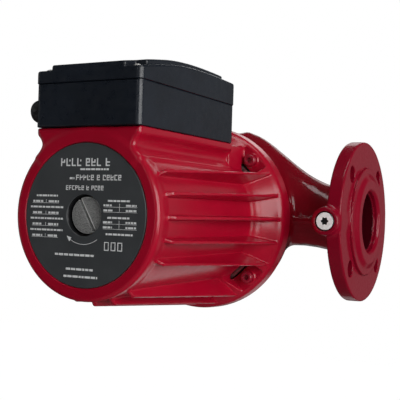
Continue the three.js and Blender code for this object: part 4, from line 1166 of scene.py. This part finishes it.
def moulded_black(name="moulded_black", colour=(0.007, 0.0095, 0.0145), roughness=0.3):
    """Black polyamide straight from a fine-textured mould."""
    finish = Finish(name, colour, roughness, Specular_IOR_Level=0.5)
    finish.mottle(28, 3, 0.35, 0.7, scaled(colour, 1.35))
    finish.uneven(5, 4, roughness - 0.05, roughness + 0.12)
    return finish.grain(0.8, 2, 0.008).grain(30, 1, 0.05).material


def turned_metal(name, colour, roughness, axes="XZ", pitch=0.3, depth=0.02, metallic=1.0, socket=0):
    """Metal with fine rings from turning, and painted shade in a socket of the given radius along y."""
    finish = Finish(name, colour, roughness, metallic)
    radius = finish.radius(axes)
    inputs = {"W": radius, "Scale": 1 / pitch, "Detail": 3.0}
    rings = finish.add("ShaderNodeTexNoise", inputs, noise_dimensions="1D").outputs["Fac"]
    finish.mottle(4, 4, 0.35, 0.75, scaled(colour, 0.8))
    if socket:
        # Painted shade: near black down inside the socket, below its rim.
        socket_shade_depth = finish.ramp(finish.axis("Y"), 0.9, 1.5)
        finish.paint(finish.both(finish.ramp(radius, socket + 0.3, socket), socket_shade_depth), (0.02, 0.02, 0.022))
    finish.uneven(1.2, 4, roughness - 0.06, roughness + 0.12)
    return finish.bump(rings, depth).grain(0.5, 3, depth).material


def blasted_metal():
    """Grey bead-blasted metal for the vent plug, with a painted highlight round its rim and along one side
    of its slot, and painted shade inside the slot.
    """
    finish = Finish("blasted_nickel", (0.55, 0.55, 0.54), 0.36, 0.6)
    finish.mottle(0.9, 5, 0.4, 0.65, (0.18, 0.18, 0.18), wildness=0.7)
    sideways = finish.both(finish.axis("X"), math.sin(SLOT_ANGLE))
    across = finish.math("ADD", sideways, finish.both(finish.axis("Z"), math.cos(SLOT_ANGLE)))
    # Painted highlight: near white along one side of the slot and round the rim, and not metallic there.
    slot_highlight = finish.both(finish.ramp(across, 2.1, 1.4, 0, 0.9), finish.ramp(across, 0.6, 0.9))
    painted_highlight = finish.math("MAXIMUM", slot_highlight, finish.ramp(finish.radius(), 12.3, 12.8, 0, 0.6))
    finish.paint(painted_highlight, (0.97, 0.97, 0.95))
    # Painted shade: darker inside the slot.
    finish.paint(finish.ramp(finish.math("ABSOLUTE", across), 0.9, 0.7, 0, 0.8), (0.1, 0.1, 0.1))
    finish.drive("Metallic", finish.ramp(painted_highlight, 0, 1, 0.6, 0))
    return finish.uneven(1.5, 4, 0.34, 0.52).grain(0.6, 4, 0.09, 0.65).material


def rubber(name="rubber", colour=(0.018, 0.018, 0.02)):
    finish = Finish(name, colour, 0.7, Specular_IOR_Level=0.3)
    finish.mottle(3, 4, 0.4, 0.75, scaled(colour, 1.9))
    return finish.uneven(2, 3, 0.6, 0.85).grain(0.5, 4, 0.04).material


def laminated():
    """Stacked steel sheets, edge on."""
    finish = Finish("laminated_steel", (0.25, 0.26, 0.28), 0.5, 1.0)
    sheets = finish.wave(0.5, 0.2, "Y")
    finish.paint(finish.ramp(sheets, 0.1, 0.5, 0.8, 0), (0.05, 0.05, 0.055))
    return finish.uneven(5, 3, 0.4, 0.65).bump(sheets, 0.08).material


def wound_copper():
    """Varnished winding wire."""
    finish = Finish("wound_copper", (0.45, 0.13, 0.045), 0.35, 0.9, Coat_Weight=0.4)
    wires = finish.wave(0.45, 1.2, "DIAGONAL")
    finish.paint(finish.ramp(wires, 0.2, 0.6, 0.7, 0), (0.16, 0.04, 0.015))
    return finish.uneven(3, 3, 0.3, 0.5).bump(wires, 0.25).material


def sleeve_braid():
    """A braided glass-fibre sleeve, soaked in red varnish."""
    finish = Finish("sleeve_braid", (0.25, 0.03, 0.025), 0.6)
    weave = finish.both(finish.wave(0.4, 0.3, "X"), finish.wave(0.4, 0.3, "Z"))
    finish.paint(finish.ramp(weave, 0.05, 0.5, 0.7, 0), (0.09, 0.01, 0.01))
    return finish.bump(weave, 0.25).material


def terminal_plastic():
    finish = Finish("terminal_plastic", (0.42, 0.43, 0.39), 0.5)
    finish.mottle(6, 4, 0.4, 0.7, (0.36, 0.37, 0.33))
    return finish.uneven(2, 3, 0.42, 0.6).grain(0.5, 3, 0.03).material


def carbon_graphite():
    finish = Finish("carbon_graphite", (0.03, 0.03, 0.033), 0.45)
    finish.mottle(0.6, 5, 0.5, 0.75, (0.07, 0.07, 0.075))
    return finish.uneven(1.5, 3, 0.35, 0.6).grain(0.4, 4, 0.03).material


BLACK = moulded_black()
GLAND_BLACK = moulded_black("gland_black", (0.017, 0.018, 0.02), 0.36)
NICKEL = turned_metal("nickel_plate", (0.88, 0.87, 0.85), 0.26, "XY", 0.25, 0.01, metallic=0.5)
BRONZE = turned_metal("cast_bronze", (0.62, 0.42, 0.17), 0.35, pitch=0.5, depth=0.05)
ZINC = turned_metal(
    "zinc_plate",
    (0.97, 0.97, 0.95),
    0.34,
    depth=0.006,
    metallic=0.05,
    socket=SOCKET_RADIUS + SOCKET_LOBE,
)

KEPT_NODES = {
    BRONZE: ["wear_ring", "front_bearing_holder", "impeller_nut"],
    rubber(): ["housing_gasket", "lid_seal", "vent_o_ring"],
    rubber("seal_rubber", (0.022, 0.02, 0.02)): ["gland_seal"],
    turned_metal("stainless_steel", (0.58, 0.57, 0.55), 0.3): [
        "stator_can",
        "bearing_plate",
        "rotor_core",
        "impeller",
    ],
    turned_metal("ground_steel", (0.52, 0.52, 0.53), 0.25): ["shaft", "box_screw_1", "box_screw_2"],
    carbon_graphite(): ["front_bearing", "rear_bearing", "thrust_ring"],
    laminated(): ["stator_core"],
    wound_copper(): ["winding_front", "winding_rear"],
    sleeve_braid(): ["lead_sleeve"],
    GLAND_BLACK: ["gland_locknut"],
}

for kept_material, node_names in KEPT_NODES.items():
    for node_name in node_names:
        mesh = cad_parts[node_name].data
        mesh.materials.clear()
        mesh.materials.append(kept_material)
        shade_smooth(mesh)


# ---- Pieces ----

make_piece("pump_housing", pump_housing, cast_red(), "pump", "cast_paint", 1.25, 8, 190000)
make_piece("motor_housing", motor_housing, glossy_red(), "pump", "motor_paint", 1.1, 1, 190000)
make_piece("terminal_box", terminal_box, BLACK, "pump", "box_plastic", 1.0, 0.5, 60000)
make_piece("box_lid", box_lid, BLACK, "lid", "box_plastic", 0.9, 0.5, 90000)
make_piece("terminal_block", terminal_block, terminal_plastic(), "pump", "block_plastic", 0.6, 0.5, 30000)
make_piece("gland_body", gland_body, GLAND_BLACK, "pump", "gland_plastic", 0.4, 0.5, 30000)
make_piece("gland_nut", gland_nut, GLAND_BLACK, "pump", "gland_plastic", 0.4, 0.5, 30000)
make_piece("vent_plug", vent_plug, blasted_metal(), "vent_plug", "vent_metal", 0.35, 0.5, 40000)

add_piece("name_plate_skin", name_plate_mesh(), plate_dark(), "pump", "name_plate", ["name_plate"])
add_piece("plate_print", plate_print_mesh(), plate_ink(), "pump", "name_plate")


def add_copies(names, field, low, high, cell, material, body, slot, seat):
    """The same mesh for each of several CAD nodes, where seat(low, high) is its origin in a node's box."""
    mesh = field_mesh(names[0] + "_skin", field, low, high, cell, 14000)
    for name in names:
        add_piece(name + "_skin", mesh, material, body, slot, [name], seat(*corners(name)))


def head_up(height):
    """The seat of a head `height` high that faces +Z."""
    return lambda low, high: ((low.x + high.x) / 2, (low.y + high.y) / 2, high.z - height)


def head_front(height):
    """The seat of a head `height` high that faces -Y."""
    return lambda low, high: ((low.x + high.x) / 2, low.y + height, (low.z + high.z) / 2)


plugs = ["gauge_plug_outlet", "gauge_plug_inlet"]
reach = (-7.5, 0, -7.5), (7.5, 13.5, 7.5)
add_copies(plugs, gauge_plug, *reach, 0.25, ZINC, "pump", "zinc_steel", head_front(-PLUG_SINK))

screws = [f"motor_screw_{i}" for i in range(1, 5)]
reach = (-5, -5, -5), (5, SCREW_LENGTH + 0.2, 5)
add_copies(screws, cap_screw, *reach, 0.3, screw_red(), "pump", "screw_paint", head_front(SCREW_HEAD))

height = pan_height(LID_SCREW_RADIUS)
for name in LID_SCREWS:
    low, high = corners(name)
    length = high.z - low.z - height
    screw = pan_screw(LID_SCREW_RADIUS, length, LID_SCREW_HEAD)
    reach = (-4.2, -4.2, -length - 0.2), (4.2, 4.2, height + 0.4)
    add_copies([name], screw, *reach, 0.22, NICKEL, "lid", "nickel_screw", head_up(height))

screws = [f"terminal_screw_{i}" for i in range(1, 7)]
screw = pan_screw(TERMINAL_SCREW_RADIUS, 7, 3.2)
reach = (-3.4, -3.4, -7.2), (3.4, 3.4, 2.5)
seat = head_up(pan_height(TERMINAL_SCREW_RADIUS))
add_copies(screws, screw, *reach, 0.22, NICKEL, "pump", "nickel_screw", seat)


# ---- Floor, light and camera ----

FLOOR_Z = -1.6
FLOOR_REACH = 8.0
LIGHTS_AIM = Vector((0, -0.12, 0))
CAMERA_LENS = 73.2
CAMERA_AT = Vector((336.67, -703.81, 4.94)) * MM
CAMERA_AIM = Vector((-24.07, -12.33, 15.97)) * MM
CAMERA_ROLL = math.radians(1.63)


def only_for_camera(tree, camera_value, other_value):
    """A number that is camera_value to the camera, and other_value in reflections."""
    path = tree.nodes.new("ShaderNodeLightPath")
    choice = tree.nodes.new("ShaderNodeMapRange")
    tree.links.new(path.outputs["Is Camera Ray"], choice.inputs["Value"])
    choice.inputs["To Min"].default_value = other_value
    choice.inputs["To Max"].default_value = camera_value
    return choice.outputs["Result"]


def make_floor():
    """A pale floor that is white to the camera and throws a softer light back up."""
    finish = Finish("floor_white", (0.06, 0.06, 0.06), 0.9, Emission_Color=(1, 1, 1, 1))
    finish.drive("Emission Strength", only_for_camera(finish.tree, 1.0, 0.015))
    mesh = bpy.data.meshes.new("floor")
    ways = ((-1, -1), (1, -1), (1, 1), (-1, 1))
    points = [(x * FLOOR_REACH, y * FLOOR_REACH, FLOOR_Z) for x, y in ways]
    mesh.from_pydata(points, [], [(0, 1, 2, 3)])
    mesh.materials.append(finish.material)
    new_object("floor", mesh)


def make_world():
    world = bpy.data.worlds.new("studio")
    bpy.context.scene.world = world
    world.use_nodes = True
    background = world.node_tree.nodes["Background"]
    background.inputs["Color"].default_value = (1, 1, 1, 1)
    strength = only_for_camera(world.node_tree, 1.0, 0.02)
    world.node_tree.links.new(strength, background.inputs["Strength"])


def softbox(name, at, size, radiance, reflected=True):
    """A flat light that faces the pump. One that isn't reflected leaves no highlight."""
    light = bpy.data.lights.new(name, "AREA")
    light.shape = "RECTANGLE"
    light.size, light.size_y = size
    light.energy = radiance * size[0] * size[1] * math.pi
    holder = new_object(name, light)
    holder.location = at
    holder.rotation_mode = "QUATERNION"
    holder.rotation_quaternion = (LIGHTS_AIM - Vector(at)).to_track_quat("-Z", "Y")
    holder.visible_camera = False
    holder.visible_glossy = reflected


def make_lights():
    softbox("right_box", (1.6, -0.1, 0.2), (0.4, 1.3), 5)
    softbox("front_strip", (-0.1, -1.9, 0.3), (0.12, 1.2), 2.5)
    softbox("left_box", (-1.4, -0.9, 0.3), (0.2, 1.4), 1.2)
    softbox("top_box", (0.2, -0.3, 1.5), (1.2, 0.3), 5)
    softbox("back_top_box", (-0.3, 1.35, 0.85), (0.9, 0.5), 1.5)
    softbox("back_low_box", (-0.2, 1.3, -0.9), (0.9, 0.5), 0.6)
    softbox("back_right_box", (0.9, 1.3, 0), (1.1, 1.4), 0.2)
    softbox("key_fill", (1.6, -1.05, 0.35), (1.3, 1.3), 5.2)
    softbox("low_fill", (0.2, -0.6, -1.4), (1.8, 1.8), 1, reflected=False)
    softbox("left_fill", (-1.9, 0.35, 0.4), (2.0, 2.0), 2.4, reflected=False)
    softbox("back_fill", (-0.1, 1.5, 1.5), (1.6, 1.0), 4, reflected=False)


def make_camera():
    camera = new_object("camera", bpy.data.cameras.new("camera"))
    camera.data.sensor_width = 36
    camera.data.lens = CAMERA_LENS
    camera.location = CAMERA_AT
    camera.rotation_mode = "QUATERNION"
    level = (CAMERA_AIM - CAMERA_AT).to_track_quat("-Z", "Y")
    camera.rotation_quaternion = level @ Quaternion((0, 0, 1), CAMERA_ROLL)
    camera.data.clip_start, camera.data.clip_end = 0.01, 50
    bpy.context.scene.camera = camera


make_floor()
make_world()
make_lights()
make_camera()
bpy.context.scene.view_settings.view_transform = "Standard"
